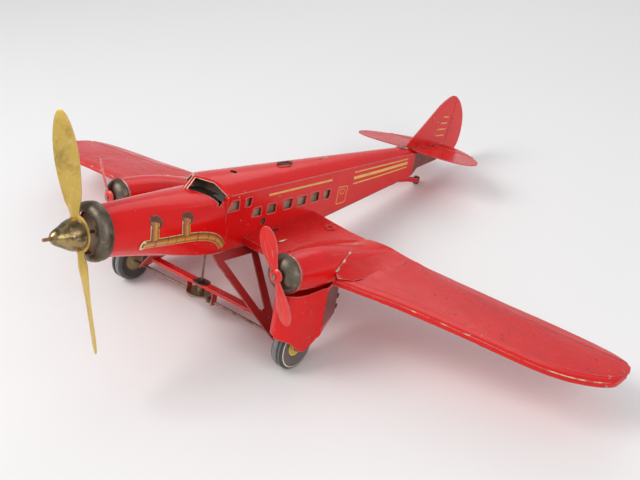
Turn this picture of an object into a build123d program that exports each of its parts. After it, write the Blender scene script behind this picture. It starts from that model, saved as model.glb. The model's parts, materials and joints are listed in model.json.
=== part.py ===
from build123d import *
import math
import os

os.makedirs("parts", exist_ok=True)

# ---------------------------------------------------------------------------
# Tinplate three-engined clockwork airliner.
# Aircraft axes while modelling: +X to the nose along the thrust line,
# +Y to port, +Z up; x = 0 is the front of the nose ring.  At the end every
# piece is pitched nose-up on to its two main wheels and its tail wheel and
# the origin is put under the middle of the whole toy.
# ---------------------------------------------------------------------------

# driving dimensions, millimetres
TIN = 0.5                 # sheet thickness
SHELL_LEN = 304.0         # nose ring to the end of the fuselage sides
HALF_W0, X_W0 = 17.9, -82.0   # fuselage half-width behind the windscreen
TAPER = 0.058             # half-width lost per mm of length
BELLY_Z = -19.0
X_BREAK = -150.0          # where the belly starts to rise
X_TAIL = -304.0
TAIL_Z = 1.0

RING_R = 15.6             # nose ring
SHAFT_R = 0.9
PROP_X, PROP_R, PROP_TURN, PROP_PITCH = 3.6, 61.1, 19.6, 24.0
SPIN_R, SPIN_TIP, SHAFT_TIP = 8.6, 18.9, 22.9

ENG_X, ENG_Y, ENG_Z, ENG_R = -75.4, 70.2, -11.3, 10.8
SIDE_PROP_X, SIDE_PROP_R, SIDE_TURN = -67.8, 26.7, 27.6
PITCH_LEFT, PITCH_RIGHT = 9.0, -36.0    # the two side propellers are twisted opposite ways
PIN_R = 0.65

AXLE_X, AXLE_Z, AXLE_R = -90.4, -57.7, 0.85
WHEEL_Y, WHEEL_R = 71.8, 14.0
TAIL_X, TAIL_Z_W, TAIL_R = -322.5, -6.2, 3.4

SHAFT_V_Y, SHAFT_V_R = -4.5, 0.7
RUN = 0.06                # radial running clearance

ARBOR_A = (-115.4, -6.2)  # winding arbor, x and z
ARBOR_B = (-105.71, 0.0)  # second arbor
PLATE_Y = 9.5             # motor side plates


def half_width(x):
    return HALF_W0 - TAPER * (X_W0 - x)


def belly(x):
    if x > X_BREAK:
        return BELLY_Z
    return BELLY_Z + (X_BREAK - x) * (TAIL_Z - BELLY_Z) / (X_BREAK - X_TAIL)


def crease(x):
    return 14.2 + 0.0245 * (X_W0 - x)


def station(x):
    """Plane across the fuselage at x: sketch x is port, sketch y is up."""
    return Plane(origin=(x, 0, 0), x_dir=(0, 1, 0), z_dir=(1, 0, 0))


def hull_lines(x, yb, zb, ym, zm, yc, zc, zt, zu, t=0.0):
    """Closed fuselage section: side, roof, side and underside arcs."""
    yb, ym, yc = yb - t, ym - t, yc - t
    zb, zu, zt, zc = zb + t, zu + t, zt - t, zc - 0.4 * t
    ThreePointArc((yb, zb), (ym, zm), (yc, zc))
    ThreePointArc((yc, zc), (0, zt), (-yc, zc))
    ThreePointArc((-yc, zc), (-ym, zm), (-yb, zb))
    ThreePointArc((-yb, zb), (0, zu), (yb, zb))


def gear_outline(teeth, module, phase=0.0, add=0.75, ded=0.95, at=(0.0, 0.0)):
    """Straight-flanked spur gear outline round the point at, as a list of points."""
    r = teeth * module / 2
    ro, ri = r + add * module, r - ded * module
    pts = []
    step = 2 * math.pi / teeth
    for i in range(teeth):
        a = phase + i * step
        for da, rr in ((-0.30, ri), (-0.13, ro), (0.13, ro), (0.30, ri)):
            pts.append((at[0] + rr * math.cos(a + da * step), at[1] + rr * math.sin(a + da * step)))
    return pts


# ---------------------------------------------------------------------------
# fuselage
# ---------------------------------------------------------------------------
NOSE = [  # x, lower corner y z, side y z, upper corner y z, top, bottom
    (-5.6, 9.4, -10.2, 13.3, -0.8, 9.4, 8.6, 12.5, -14.1),
    (-35.0, 12.0, -13.2, 16.4, -1.8, 11.6, 9.8, 14.6, -17.9),
    (-62.0, 15.6, -18.4, 18.3, -3.0, 14.8, 10.4, 15.6, -20.6),
    (-82.5, 17.6, -19.0, 18.1, -4.0, 16.6, 10.6, 16.6, -19.5),
]


def cabin_row(x, zt, dw=0.0):
    w = half_width(x) - dw
    zb, zc = belly(x), crease(x)
    return (x, w, zb, w + 0.12, (zb + zc) / 2, w, zc, zt, zb - 0.12)


CABIN = [
    cabin_row(-60.0, 22.6, 0.25),
    cabin_row(-82.0, 23.3),
    cabin_row(-150.0, 23.8),
    cabin_row(-286.0, 24.2),
    cabin_row(-299.0, 22.0),
    (-304.0, 5.0, 1.0, 5.12, 10.0, 5.0, 19.0, 22.0, 0.88),
]
TAIL = [
    (-304.0, 5.0, 1.0, 5.12, 10.0, 5.0, 19.0, 22.0, 0.88),
    (-312.0, 4.0, 6.2, 4.10, 13.0, 4.0, 19.2, 22.0, 6.1),
    (-348.0, 0.9, 9.4, 1.0, 14.0, 0.9, 19.5, 22.0, 9.3),
]

# windscreen: two raked panes that meet at a centre post
P0 = Vector(-62.6, 0, 15.2)
P1 = Vector(-69.6, 0, 22.9)
P2 = Vector(-81.7, 17.9, 14.2)
UP_POST, TO_CORNER = P1 - P0, P2 - P0


def pane_plane(side, back=0.0):
    a = Vector(UP_POST.X, 0, UP_POST.Z)
    b = Vector(TO_CORNER.X, side * TO_CORNER.Y, TO_CORNER.Z)
    n = a.cross(b).normalized()
    if n.X < 0:
        n = n * -1
    return Plane(origin=P0 - n * back, x_dir=a.normalized(), z_dir=n)


def pane_points(side, plane):
    pts = []
    for s, t in ((0.10, 0.06), (0.88, 0.06), (0.70, 0.50), (0.03, 0.93), (-0.72, 0.93), (-0.22, 0.50)):
        p = P0 + UP_POST * s + TO_CORNER * t
        q = plane.to_local_coords(Vector(p.X, side * p.Y, p.Z))
        pts.append((q.X, q.Y))
    return pts


with BuildPart() as nose_outer:
    for row in NOSE:
        with BuildSketch(station(row[0])):
            with BuildLine():
                hull_lines(*row)
            make_face()
    loft()

with BuildPart() as nose_inner:
    for row in NOSE:
        with BuildSketch(station(row[0])):
            with BuildLine():
                hull_lines(*row, t=TIN)
            make_face()
    loft()
    with BuildSketch(Plane(origin=(-7, 0, 0), x_dir=(0, 1, 0), z_dir=(1, 0, 0))):
        with Locations((0, -0.8)):
            Circle(12.6)
    extrude(amount=5)

with BuildPart() as cabin_outer:
    for row in CABIN:
        with BuildSketch(station(row[0])):
            with BuildLine():
                hull_lines(*row)
            make_face()
    loft(ruled=True)
    for row in TAIL:
        with BuildSketch(station(row[0])):
            with BuildLine():
                hull_lines(*row)
            make_face()
    loft(ruled=True)
    split(bisect_by=pane_plane(1), keep=Keep.BOTTOM)
    split(bisect_by=pane_plane(-1), keep=Keep.BOTTOM)
    # below the windscreen the nose takes over from the cabin
    with BuildSketch(Plane.XZ):
        with BuildLine():
            Polyline((-80.6, -40), (-80.6, 13.9), (-40, 13.9), (-40, -40), close=True)
        make_face()
    extrude(amount=40, both=True, mode=Mode.SUBTRACT)

with BuildPart() as cabin_inner:
    for row in CABIN:
        with BuildSketch(station(row[0])):
            with BuildLine():
                hull_lines(*row, t=TIN)
            make_face()
    loft(ruled=True)
    split(bisect_by=pane_plane(1, TIN), keep=Keep.BOTTOM)
    split(bisect_by=pane_plane(-1, TIN), keep=Keep.BOTTOM)
    with BuildSketch(Plane.XZ):
        with BuildLine():
            Polyline((-81.1, -40), (-81.1, 13.4), (-40, 13.4), (-40, -40), close=True)
        make_face()
    extrude(amount=40, both=True, mode=Mode.SUBTRACT)

# plan-form wedge between the fuselage sides, open at the belly
with BuildPart() as belly_gap:
    with BuildSketch(Plane.XY.offset(-30)):
        with BuildLine():
            Polyline(
                (-82.6, half_width(-82.6) - TIN), (X_TAIL + 4, half_width(X_TAIL + 4) - TIN),
                (X_TAIL + 4, -half_width(X_TAIL + 4) + TIN), (-82.6, -half_width(-82.6) + TIN), close=True)
        make_face()
    extrude(amount=60)
    with BuildSketch(Plane.XZ):
        with BuildLine():
            Polyline((-82.6, -30), (-82.6, BELLY_Z + 1.0), (X_BREAK, BELLY_Z + 1.0),
                     (X_TAIL + 4, belly(X_TAIL + 4) + 1.0), (X_TAIL + 4, -30), close=True)
        make_face()
    extrude(amount=40, both=True, mode=Mode.INTERSECT)

WINDOWS = [
    [(-80.8, 4.9), (-91.0, 5.2), (-90.9, 10.8), (-85.2, 10.9)],
    [(-96.5, 5.7), (-101.4, 5.8), (-102.2, 11.0), (-96.7, 10.9)],
    [(-103.6, -1.4), (-112.2, -1.9), (-112.0, 3.7), (-105.0, 3.5)],
    [(-118.0, -2.1), (-126.3, -1.9), (-126.4, 3.9), (-117.7, 4.0)],
    [(-134.2, -1.8), (-142.6, -1.6), (-143.2, 4.7), (-133.4, 4.6)],
    [(-148.5, -2.0), (-157.9, -1.6), (-158.4, 4.6), (-147.9, 4.6)],
    [(-163.0, -1.5), (-172.6, -1.3), (-172.4, 5.3), (-163.1, 5.0)],
    [(-178.4, -1.4), (-185.2, -1.3), (-186.0, 4.8), (-178.2, 5.0)],
]

with BuildPart() as fuselage_shell:
    add(nose_outer.part)
    add(cabin_outer.part)
    add(nose_inner.part, mode=Mode.SUBTRACT)
    add(cabin_inner.part, mode=Mode.SUBTRACT)
    add(belly_gap.part, mode=Mode.SUBTRACT)
    for side in (1, -1):
        pp = pane_plane(side)
        with BuildSketch(pp.offset(0.5)):
            with BuildLine():
                Polyline(*pane_points(side, pp), close=True)
            make_face()
        extrude(amount=-2.2, mode=Mode.SUBTRACT)
    with BuildSketch(Plane.XZ):
        for pts in WINDOWS:
            with BuildLine():
                Polyline(*pts, close=True)
            make_face()
    extrude(amount=30, both=True, mode=Mode.SUBTRACT)
    # winding hole in the port side
    with BuildSketch(Plane.XZ.offset(-10)):
        with Locations(ARBOR_A):
            Circle(2.2)
    extrude(amount=-12, mode=Mode.SUBTRACT)
    # round hole and two tab slits in the roof
    with BuildSketch(Plane.XY.offset(18)):
        with Locations((-98.0, 3.0)):
            Circle(2.3)
        with Locations((-181.0, 2.5), (-189.0, 1.0)):
            Rectangle(6.0, 0.9)
    extrude(amount=8, mode=Mode.SUBTRACT)

with BuildPart() as belly_plate:
    with BuildSketch(Plane.XZ):
        with BuildLine():
            Polyline((-83.2, BELLY_Z + 0.3), (X_BREAK, BELLY_Z + 0.3), (-297.0, belly(-297.0) + 0.3),
                     (-297.0, belly(-297.0) + 0.8), (X_BREAK, BELLY_Z + 0.8), (-83.2, BELLY_Z + 0.8), close=True)
        make_face()
    extrude(amount=40, both=True)
    with BuildSketch(Plane.XY.offset(-30)):
        with BuildLine():
            a, b = half_width(-83.2) - TIN - 0.05, half_width(-297.0) - TIN - 0.05
            Polyline((-83.2, a), (-297.0, b), (-297.0, -b), (-83.2, -a), close=True)
        make_face()
    extrude(amount=60, mode=Mode.INTERSECT)
    # clearance for the vertical drive shaft
    with BuildSketch(Plane.XY.offset(-25)):
        with Locations((AXLE_X, SHAFT_V_Y)):
            Circle(SHAFT_V_R + 0.5)
    extrude(amount=20, mode=Mode.SUBTRACT)

# ---------------------------------------------------------------------------
# nose ring and its bulkhead
# ---------------------------------------------------------------------------
with BuildPart() as nose_ring:
    with BuildSketch(Plane.XY):
        with BuildLine():
            Polyline((-6.6, RING_R - 0.2), (-4.0, RING_R))
            ThreePointArc((-4.0, RING_R), (-1.2, RING_R - 1.1), (0.0, RING_R - 3.6))
            ThreePointArc((0.0, RING_R - 3.6), (-0.7, RING_R - 4.9), (-2.0, RING_R - 4.2))
            Polyline((-2.0, RING_R - 4.2), (-1.4, RING_R - 3.7))
            ThreePointArc((-1.4, RING_R - 3.7), (-2.2, RING_R - 1.8), (-4.2, RING_R - 0.8))
            Polyline((-4.2, RING_R - 0.8), (-6.6, RING_R - 0.9), (-6.6, RING_R - 0.2))
        make_face()
    revolve(axis=Axis.X)

with BuildPart() as nose_bulkhead:
    with BuildSketch(station(-7.6)):
        with Locations((0, -0.8)):
            Circle(12.5)
        Circle(SHAFT_R + RUN, mode=Mode.SUBTRACT)
        with PolarLocations(8.2, 4, start_angle=35):
            Rectangle(2.6, 1.2, mode=Mode.SUBTRACT)
    extrude(amount=0.8)
    with BuildSketch(station(-6.8)):
        Circle(2.4)
        Circle(SHAFT_R + RUN, mode=Mode.SUBTRACT)
    extrude(amount=1.4)

# four fold-over lugs that hold the ring on the nose
with BuildPart() as ring_lugs:
    for a in (35, 125, 215, 305):
        c, s = math.cos(math.radians(a)), math.sin(math.radians(a))
        with BuildSketch(Plane(origin=(-5.4, c * 13.15, s * 13.15), x_dir=(0, -s, c), z_dir=(1, 0, 0))):
            Rectangle(3.2, 0.5)
        extrude(amount=2.6)

# ---------------------------------------------------------------------------
# tail surfaces
# ---------------------------------------------------------------------------
STAB_Z = 22.1
with BuildPart() as stabilizer:
    with BuildSketch(Plane.XY.offset(STAB_Z)):
        with BuildLine():
            Spline((-300.5, 0), (-296.2, 14), (-295.4, 27), (-297.0, 42), (-302.0, 51.5), (-312.0, 54.4),
                   (-322.0, 50.0), (-334.0, 39.0), (-344.5, 26.0), (-350.0, 12.0), (-350.8, 0))
            Spline((-350.8, 0), (-350.0, -12.0), (-344.5, -26.0), (-334.0, -39.0), (-322.0, -50.0),
                   (-312.0, -54.4), (-302.0, -51.5), (-297.0, -42), (-295.4, -27), (-296.2, -14), (-300.5, 0))
        make_face()
    extrude(amount=0.8)

with BuildPart() as fin:
    with BuildSketch(Plane.XZ.offset(-0.4)):
        with BuildLine():
            Polyline((-293.5, STAB_Z + 0.9 + 1.4), (-311.6, 37.2), (-336.1, 55.7))
            Spline((-336.1, 55.7), (-350.1, 62.6), (-358.4, 63.7), (-367.2, 60.1), (-377.9, 49.4),
                   (-381.6, 40.5), (-382.2, 28.8), (-380.2, 21.7), (-376.0, 16.5))
            Polyline((-376.0, 16.5), (-352.5, 16.5), (-352.5, STAB_Z + 0.85), (-295.0, STAB_Z + 0.85),
                     (-293.5, STAB_Z + 2.3))
        make_face()
    extrude(amount=0.8)
    # fold-over feet on the stabilizer, alternately to port and starboard
    for x, s in ((-306.0, 1), (-322.0, -1), (-338.0, 1)):
        with BuildSketch(Plane.XY.offset(STAB_Z + 0.85)):
            with Locations((x, s * 2.3)):
                Rectangle(9.0, 4.0)
        extrude(amount=0.5)

# ---------------------------------------------------------------------------
# wings
# ---------------------------------------------------------------------------
DIHEDRAL, INCID = -0.0604, -0.05


def wing_z(x, y):
    return -12.96 + DIHEDRAL * (abs(y) - 80) + INCID * (x + 167)


def wing_plane(x0, y0):
    n = Vector(-INCID, -DIHEDRAL, 1).normalized()
    return Plane(origin=(x0, y0, wing_z(x0, y0)), x_dir=Vector(1, 0, INCID).normalized(), z_dir=n)


OUT_LE = [(-104.0, 81.9), (-107.5, 96.0), (-112.0, 114.6), (-116.0, 138.0), (-119.0, 160.0), (-121.0, 180.0),
          (-123.0, 198.0), (-128.0, 210.5), (-136.5, 221.5), (-147.0, 229.0), (-157.0, 231.2), (-166.0, 228.6),
          (-172.0, 221.6), (-175.0, 209.8)]
OUT_TE = [(-175.0, 209.8), (-174.4, 181.0), (-172.2, 151.4), (-170.6, 118.5), (-168.8, 98.0), (-168.0, 81.9)]
WP = wing_plane(-140.0, 81.9)


def to_wing(p, plane):
    q = plane.to_local_coords(Vector(p[0], p[1], wing_z(p[0], p[1])))
    return (q.X, q.Y)


with BuildPart() as outer_wing_left:
    with BuildSketch(WP):
        with BuildLine():
            Spline(*[to_wing(p, WP) for p in OUT_LE])
            Spline(*[to_wing(p, WP) for p in OUT_TE])
            Line(to_wing(OUT_TE[-1], WP), to_wing(OUT_LE[0], WP))
        make_face()
    extrude(amount=-3.6)
    # hollow beneath, leaving a folded-down edge in front and round the tip
    with BuildSketch(WP.offset(-0.6)):
        with BuildLine():
            Spline(*[to_wing((p[0] - (0.7 if i < 9 else 0.3), p[1] - (0.0 if i == 0 else 0.05 * i)), WP)
                     for i, p in enumerate(OUT_LE[:10])])
            Polyline(to_wing((OUT_LE[9][0] - 0.3, OUT_LE[9][1] - 0.45), WP), to_wing((-158, 229.6), WP),
                     to_wing((-168, 226.0), WP), to_wing((-180, 209.8), WP), to_wing((-180, 81.5), WP),
                     to_wing((-104.7, 81.5), WP), to_wing((OUT_LE[0][0] - 0.7, OUT_LE[0][1]), WP))
        make_face()
    extrude(amount=-5, mode=Mode.SUBTRACT)

# ---------------------------------------------------------------------------
# outboard engines
# ---------------------------------------------------------------------------
NAC = [(-75.6, 10.7, 10.7, -11.3), (-92.0, 11.4, 11.5, -12.0), (-108.0, 11.6, 11.0, -12.6),
       (-130.0, 11.6, 7.2, -12.4), (-150.0, 11.6, 3.4, -12.0), (-168.0, 11.6, 1.3, -12.4)]
with BuildPart() as nacelle_outer:
    for x, ry, rz, zc in NAC:
        with BuildSketch(Plane(origin=(x, ENG_Y, zc), x_dir=(0, 1, 0), z_dir=(1, 0, 0))):
            Ellipse(ry, rz)
    loft()

with BuildPart() as nacelle_left:
    add(nacelle_outer.part)
    for x, ry, rz, zc in NAC[:-1]:
        with BuildSketch(Plane(origin=(x + (0.4 if x > -76 else 0), ENG_Y, zc), x_dir=(0, 1, 0), z_dir=(1, 0, 0))):
            Ellipse(ry - TIN, rz - TIN)
    loft(mode=Mode.SUBTRACT)

IP = wing_plane(-130.0, 17.0)
with BuildPart() as inner_wing_left:
    with BuildSketch(IP):
        with BuildLine():
            Polyline(to_wing((-97.5, half_width(-97.5) + 0.3), IP), to_wing((-98.5, 57.6), IP),
                     to_wing((-102.0, 75.0), IP), to_wing((-167.6, 75.0), IP), to_wing((-167.0, 62.0), IP),
                     to_wing((-166.4, 47.0), IP), to_wing((-168.3, 30.0), IP),
                     to_wing((-170.5, half_width(-170.5) + 0.3), IP), close=True)
        make_face()
    extrude(amount=-4.6)
    with BuildSketch(IP.offset(-0.6)):
        with BuildLine():
            Polyline(to_wing((-98.2, 12.0), IP), to_wing((-99.1, 57.6), IP), to_wing((-104.3, 84.0), IP),
                     to_wing((-175.0, 84.0), IP), to_wing((-176.0, 12.0), IP), close=True)
        make_face()
    extrude(amount=-6, mode=Mode.SUBTRACT)
    add(nacelle_outer.part, mode=Mode.SUBTRACT)

with BuildPart() as engine_dome_left:
    with BuildSketch(Plane.XY.offset(ENG_Z)):
        with BuildLine():
            y = ENG_Y
            Polyline((ENG_X, y + 10.2), (ENG_X, y + ENG_R))
            ThreePointArc((ENG_X, y + ENG_R), (ENG_X + 3.4, y + 9.3), (ENG_X + 5.9, y + 4.6))
            Polyline((ENG_X + 5.9, y + 4.6), (ENG_X + 6.1, y + PIN_R), (ENG_X + 5.5, y + PIN_R), (ENG_X + 5.35, y + 4.4))
            ThreePointArc((ENG_X + 5.35, y + 4.4), (ENG_X + 3.0, y + 8.8), (ENG_X, y + 10.2))
        make_face()
    revolve(axis=Axis((0, ENG_Y, ENG_Z), (1, 0, 0)))

with BuildPart() as engine_pin_left:
    with BuildSketch(Plane(origin=(ENG_X - 3, ENG_Y, ENG_Z), x_dir=(0, 1, 0), z_dir=(1, 0, 0))):
        Circle(PIN_R)
    extrude(amount=SIDE_PROP_X + 1.9 - (ENG_X - 3))
    with BuildSketch(Plane(origin=(SIDE_PROP_X + 1.9, ENG_Y, ENG_Z), x_dir=(0, 1, 0), z_dir=(1, 0, 0))):
        Circle(1.3)
    extrude(amount=0.5)
    with BuildSketch(Plane(origin=(ENG_X + 4.2, ENG_Y, ENG_Z), x_dir=(0, 1, 0), z_dir=(1, 0, 0))):
        Circle(2.2)
    extrude(amount=1.2)


def blade_plane(origin, turn, pitch, flip):
    a, b = math.radians(turn), math.radians(pitch)
    s = Vector(0, -math.sin(a), math.cos(a)) * flip
    t = Vector(1, 0, 0).cross(s)
    c = Vector(1, 0, 0) * math.sin(b) + t * math.cos(b)
    return Plane(origin=origin, x_dir=c, z_dir=c.cross(s))


SIDE_BLADE = [(1.4, 2.0), (2.2, 6.0), (3.7, 12.0), (4.8, 18.0), (4.4, 22.5), (2.6, 25.8), (0, 26.7)]
with BuildPart() as side_propeller_left:
    with BuildSketch(Plane(origin=(SIDE_PROP_X - 0.8, ENG_Y, ENG_Z), x_dir=(0, 1, 0), z_dir=(1, 0, 0))):
        Circle(4.0)
    extrude(amount=2.2)
    for f in (1, -1):
        bp = blade_plane((SIDE_PROP_X, ENG_Y, ENG_Z), SIDE_TURN, PITCH_LEFT, f)
        with BuildSketch(bp.offset(-0.3)):
            with BuildLine():
                Spline(*SIDE_BLADE)
                Spline(*[(-x, y) for x, y in SIDE_BLADE])
                Line((-1.4, 2.0), (1.4, 2.0))
            make_face()
        extrude(amount=0.6)
    with BuildSketch(Plane(origin=(SIDE_PROP_X - 5, ENG_Y, ENG_Z), x_dir=(0, 1, 0), z_dir=(1, 0, 0))):
        Circle(PIN_R + RUN)
    extrude(amount=10, mode=Mode.SUBTRACT)

# ---------------------------------------------------------------------------
# nose propeller, spinner and shaft
# ---------------------------------------------------------------------------
BLADE = [(2.6, 5.0), (3.3, 10.0), (4.3, 15.0), (5.5, 22.0), (6.3, 30.0), (6.4, 40.0), (5.4, 50.0), (3.6, 57.5),
         (1.8, 60.6), (0, 61.1)]
with BuildPart() as propeller:
    with BuildSketch(station(PROP_X - 0.4)):
        Circle(9.0)
    extrude(amount=0.8)
    for f in (1, -1):
        bp = blade_plane((PROP_X, 0, 0), PROP_TURN, PROP_PITCH, f)
        with BuildSketch(bp.offset(-0.4)):
            with BuildLine():
                Spline(*BLADE)
                Spline(*[(-x, y) for x, y in BLADE])
                Line((-2.6, 5.0), (2.6, 5.0))
            make_face()
        extrude(amount=0.8)
    with BuildSketch(station(PROP_X - 5)):
        Circle(SHAFT_R)
    extrude(amount=10, mode=Mode.SUBTRACT)
    # room for the spinner's hollow over the blade roots
    with BuildSketch(station(PROP_X + 0.4)):
        Circle(8.7)
    extrude(amount=8, mode=Mode.SUBTRACT)

with BuildPart() as spinner:
    with BuildSketch(Plane.XY):
        with BuildLine():
            x0 = PROP_X + 0.42
            Spline((x0, SPIN_R), (x0 + 5.0, SPIN_R - 0.9), (x0 + 10.0, SPIN_R - 3.5), (SPIN_TIP, 1.6),
                   tangents=((1, 0.0), (0.7, -1.2)))
            Polyline((SPIN_TIP, 1.6), (SPIN_TIP, SHAFT_R), (SPIN_TIP - 1.4, SHAFT_R), (SPIN_TIP - 1.4, 1.4))
            Spline((SPIN_TIP - 1.4, 1.4), (x0 + 9.4, SPIN_R - 3.9), (x0 + 4.7, SPIN_R - 1.6), (x0, SPIN_R - 0.7))
            Line((x0, SPIN_R - 0.7), (x0, SPIN_R))
        make_face()
    revolve(axis=Axis.X)

PIN_X = -99.7     # pinion on the inner end of the propeller shaft
with BuildPart() as propeller_shaft:
    with BuildSketch(station(-101.6)):
        Circle(SHAFT_R)
    extrude(amount=SHAFT_TIP + 101.6)

with BuildPart() as shaft_pinion:
    with BuildSketch(station(PIN_X - 0.8)):
        with BuildLine():
            Polyline(*gear_outline(8, 0.5), close=True)
        make_face()
        Circle(SHAFT_R, mode=Mode.SUBTRACT)
    extrude(amount=1.6)

# single-start worm shown by its crest rings
with BuildPart() as shaft_worm:
    with BuildSketch(station(AXLE_X - 3.4)):
        Circle(1.35)
        Circle(SHAFT_R, mode=Mode.SUBTRACT)
    extrude(amount=6.8)
    for i in range(6):
        with BuildSketch(station(AXLE_X - 3.1 + i * 1.13)):
            Circle(1.75)
            Circle(SHAFT_R, mode=Mode.SUBTRACT)
        extrude(amount=0.5)

with BuildPart() as thrust_collar:
    with BuildSketch(station(-10.6)):
        Circle(2.2)
        Circle(SHAFT_R, mode=Mode.SUBTRACT)
    extrude(amount=2.4)

# ---------------------------------------------------------------------------
# clockwork motor
# ---------------------------------------------------------------------------
def arbor_holes():
    with Locations(ARBOR_A):
        Circle(1.3 + RUN, mode=Mode.SUBTRACT)
    with Locations(ARBOR_B):
        Circle(0.8 + RUN, mode=Mode.SUBTRACT)


MX0, MX1, MZ0, MZ1 = -128.0, -84.0, -18.2, 9.0
with BuildPart() as motor_plate_left:
    with BuildSketch(Plane.XZ.offset(-PLATE_Y)):
        with Locations(((MX0 + MX1) / 2, (MZ0 + MZ1) / 2)):
            RectangleRounded(MX1 - MX0, MZ1 - MZ0, 3)
        arbor_holes()
    extrude(amount=-0.8)

with BuildPart() as motor_plate_right:
    with BuildSketch(Plane.XZ.offset(PLATE_Y)):
        with Locations(((MX0 + MX1) / 2, (MZ0 + MZ1) / 2)):
            RectangleRounded(MX1 - MX0, MZ1 - MZ0, 3)
        arbor_holes()
    extrude(amount=0.8)

with BuildPart() as motor_pillars:
    with BuildSketch(Plane.XZ.offset(-PLATE_Y)):
        with Locations((MX0 + 3, MZ0 + 3), (MX0 + 3, MZ1 - 3), (MX1 - 3, MZ0 + 3), (MX1 - 3, MZ1 - 3)):
            Circle(1.3)
    extrude(amount=2 * PLATE_Y)

# cross-plate between the side plates with the rear bearing of the shaft
with BuildPart() as shaft_bearing_plate:
    with BuildSketch(station(-86.4)):
        with Locations((0, 0)):
            Rectangle(2 * PLATE_Y, 9.0)
        Circle(SHAFT_R + RUN, mode=Mode.SUBTRACT)
    extrude(amount=0.8)

with BuildPart() as winding_arbor:
    with BuildSketch(Plane.XZ.offset(10.6)):
        with Locations(ARBOR_A):
            Circle(1.3)
    extrude(amount=-(10.6 + 10.6))
    with BuildSketch(Plane.XZ.offset(-10.6)):
        with Locations(ARBOR_A):
            Rectangle(1.8, 1.8)
    extrude(amount=-5.2)

RATCHET_N = 12
with BuildPart() as ratchet_wheel:
    with BuildSketch(Plane.XZ.offset(-7.7)):
        with BuildLine():
            pts = []
            for i in range(RATCHET_N):
                a = 2 * math.pi * i / RATCHET_N
                b = 2 * math.pi * (i + 0.92) / RATCHET_N
                pts += [(ARBOR_A[0] + 4.6 * math.cos(a), ARBOR_A[1] + 4.6 * math.sin(a)),
                        (ARBOR_A[0] + 3.5 * math.cos(b), ARBOR_A[1] + 3.5 * math.sin(b))]
            Polyline(*pts, close=True)
        make_face()
        with Locations(ARBOR_A):
            Circle(1.3, mode=Mode.SUBTRACT)
    extrude(amount=-0.8)

with BuildPart() as great_wheel:
    with BuildSketch(Plane.XZ.offset(-6.0)):
        with BuildLine():
            ang = math.atan2(ARBOR_B[1] - ARBOR_A[1], ARBOR_B[0] - ARBOR_A[0])
            Polyline(*gear_outline(32, 0.575, ang + math.pi / 32, at=ARBOR_A), close=True)
        make_face()
        with Locations(ARBOR_A):
            Circle(1.3 + RUN, mode=Mode.SUBTRACT)
            with PolarLocations(5.6, 5):
                Circle(1.5, mode=Mode.SUBTRACT)
    extrude(amount=-0.8)

with BuildPart() as second_arbor:
    with BuildSketch(Plane.XZ.offset(10.6)):
        with Locations(ARBOR_B):
            Circle(0.8)
    extrude(amount=-(10.6 + 10.6))

with BuildPart() as second_pinion:
    with BuildSketch(Plane.XZ.offset(-5.4)):
        with BuildLine():
            ang = math.atan2(ARBOR_A[1] - ARBOR_B[1], ARBOR_A[0] - ARBOR_B[0])
            Polyline(*gear_outline(8, 0.575, ang, at=ARBOR_B), close=True)
        make_face()
        with Locations(ARBOR_B):
            Circle(0.8, mode=Mode.SUBTRACT)
    extrude(amount=-2.0)

CON_N, CON_R = 24, 6.0
with BuildPart() as contrate_wheel:
    with BuildSketch(Plane.XZ.offset(-2.75)):
        with Locations(ARBOR_B):
            Circle(6.7)
            Circle(0.8, mode=Mode.SUBTRACT)
    extrude(amount=-0.7)
    with BuildSketch(Plane.XZ.offset(-2.75)):
        with Locations(ARBOR_B):
            with PolarLocations(CON_R, CON_N, start_angle=180.0 / CON_N):
                Rectangle(1.3, 0.55)
    extrude(amount=1.1)

with BuildPart() as mainspring:
    with BuildSketch(Plane.XZ.offset(8.6)):
        turns, pts_out, pts_in = 5.5, [], []
        n = int(turns * 16)
        for i in range(n + 1):
            a = 2 * math.pi * turns * i / n
            r = 2.2 + 6.2 * i / n
            pts_out.append((ARBOR_A[0] + (r + 0.17) * math.cos(a), ARBOR_A[1] + (r + 0.17) * math.sin(a)))
            pts_in.append((ARBOR_A[0] + (r - 0.17) * math.cos(a), ARBOR_A[1] + (r - 0.17) * math.sin(a)))
        with BuildLine():
            Polyline(*(pts_out + pts_in[::-1]), close=True)
        make_face()
    extrude(amount=-6.6)

with BuildPart() as spring_post:
    with BuildSketch(Plane.XZ.offset(9.5)):
        with Locations((ARBOR_A[0] - 9.36, ARBOR_A[1])):
            Circle(0.8)
    extrude(amount=-7.8)

# ---------------------------------------------------------------------------
# undercarriage
# ---------------------------------------------------------------------------
FA = Vector(-76.0, 17.7, -19.7)
FB = Vector(-107.0, 16.4, -19.6)
FE = Vector(AXLE_X, 58.0, AXLE_Z)
fx = (FB - FA).normalized()
fn = (FB - FA).cross(FE - FA).normalized()
FRAME = Plane(origin=FA, x_dir=fx, z_dir=fn)


def frame_pt(p):
    q = FRAME.to_local_coords(p)
    return (q.X, q.Y)


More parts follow.
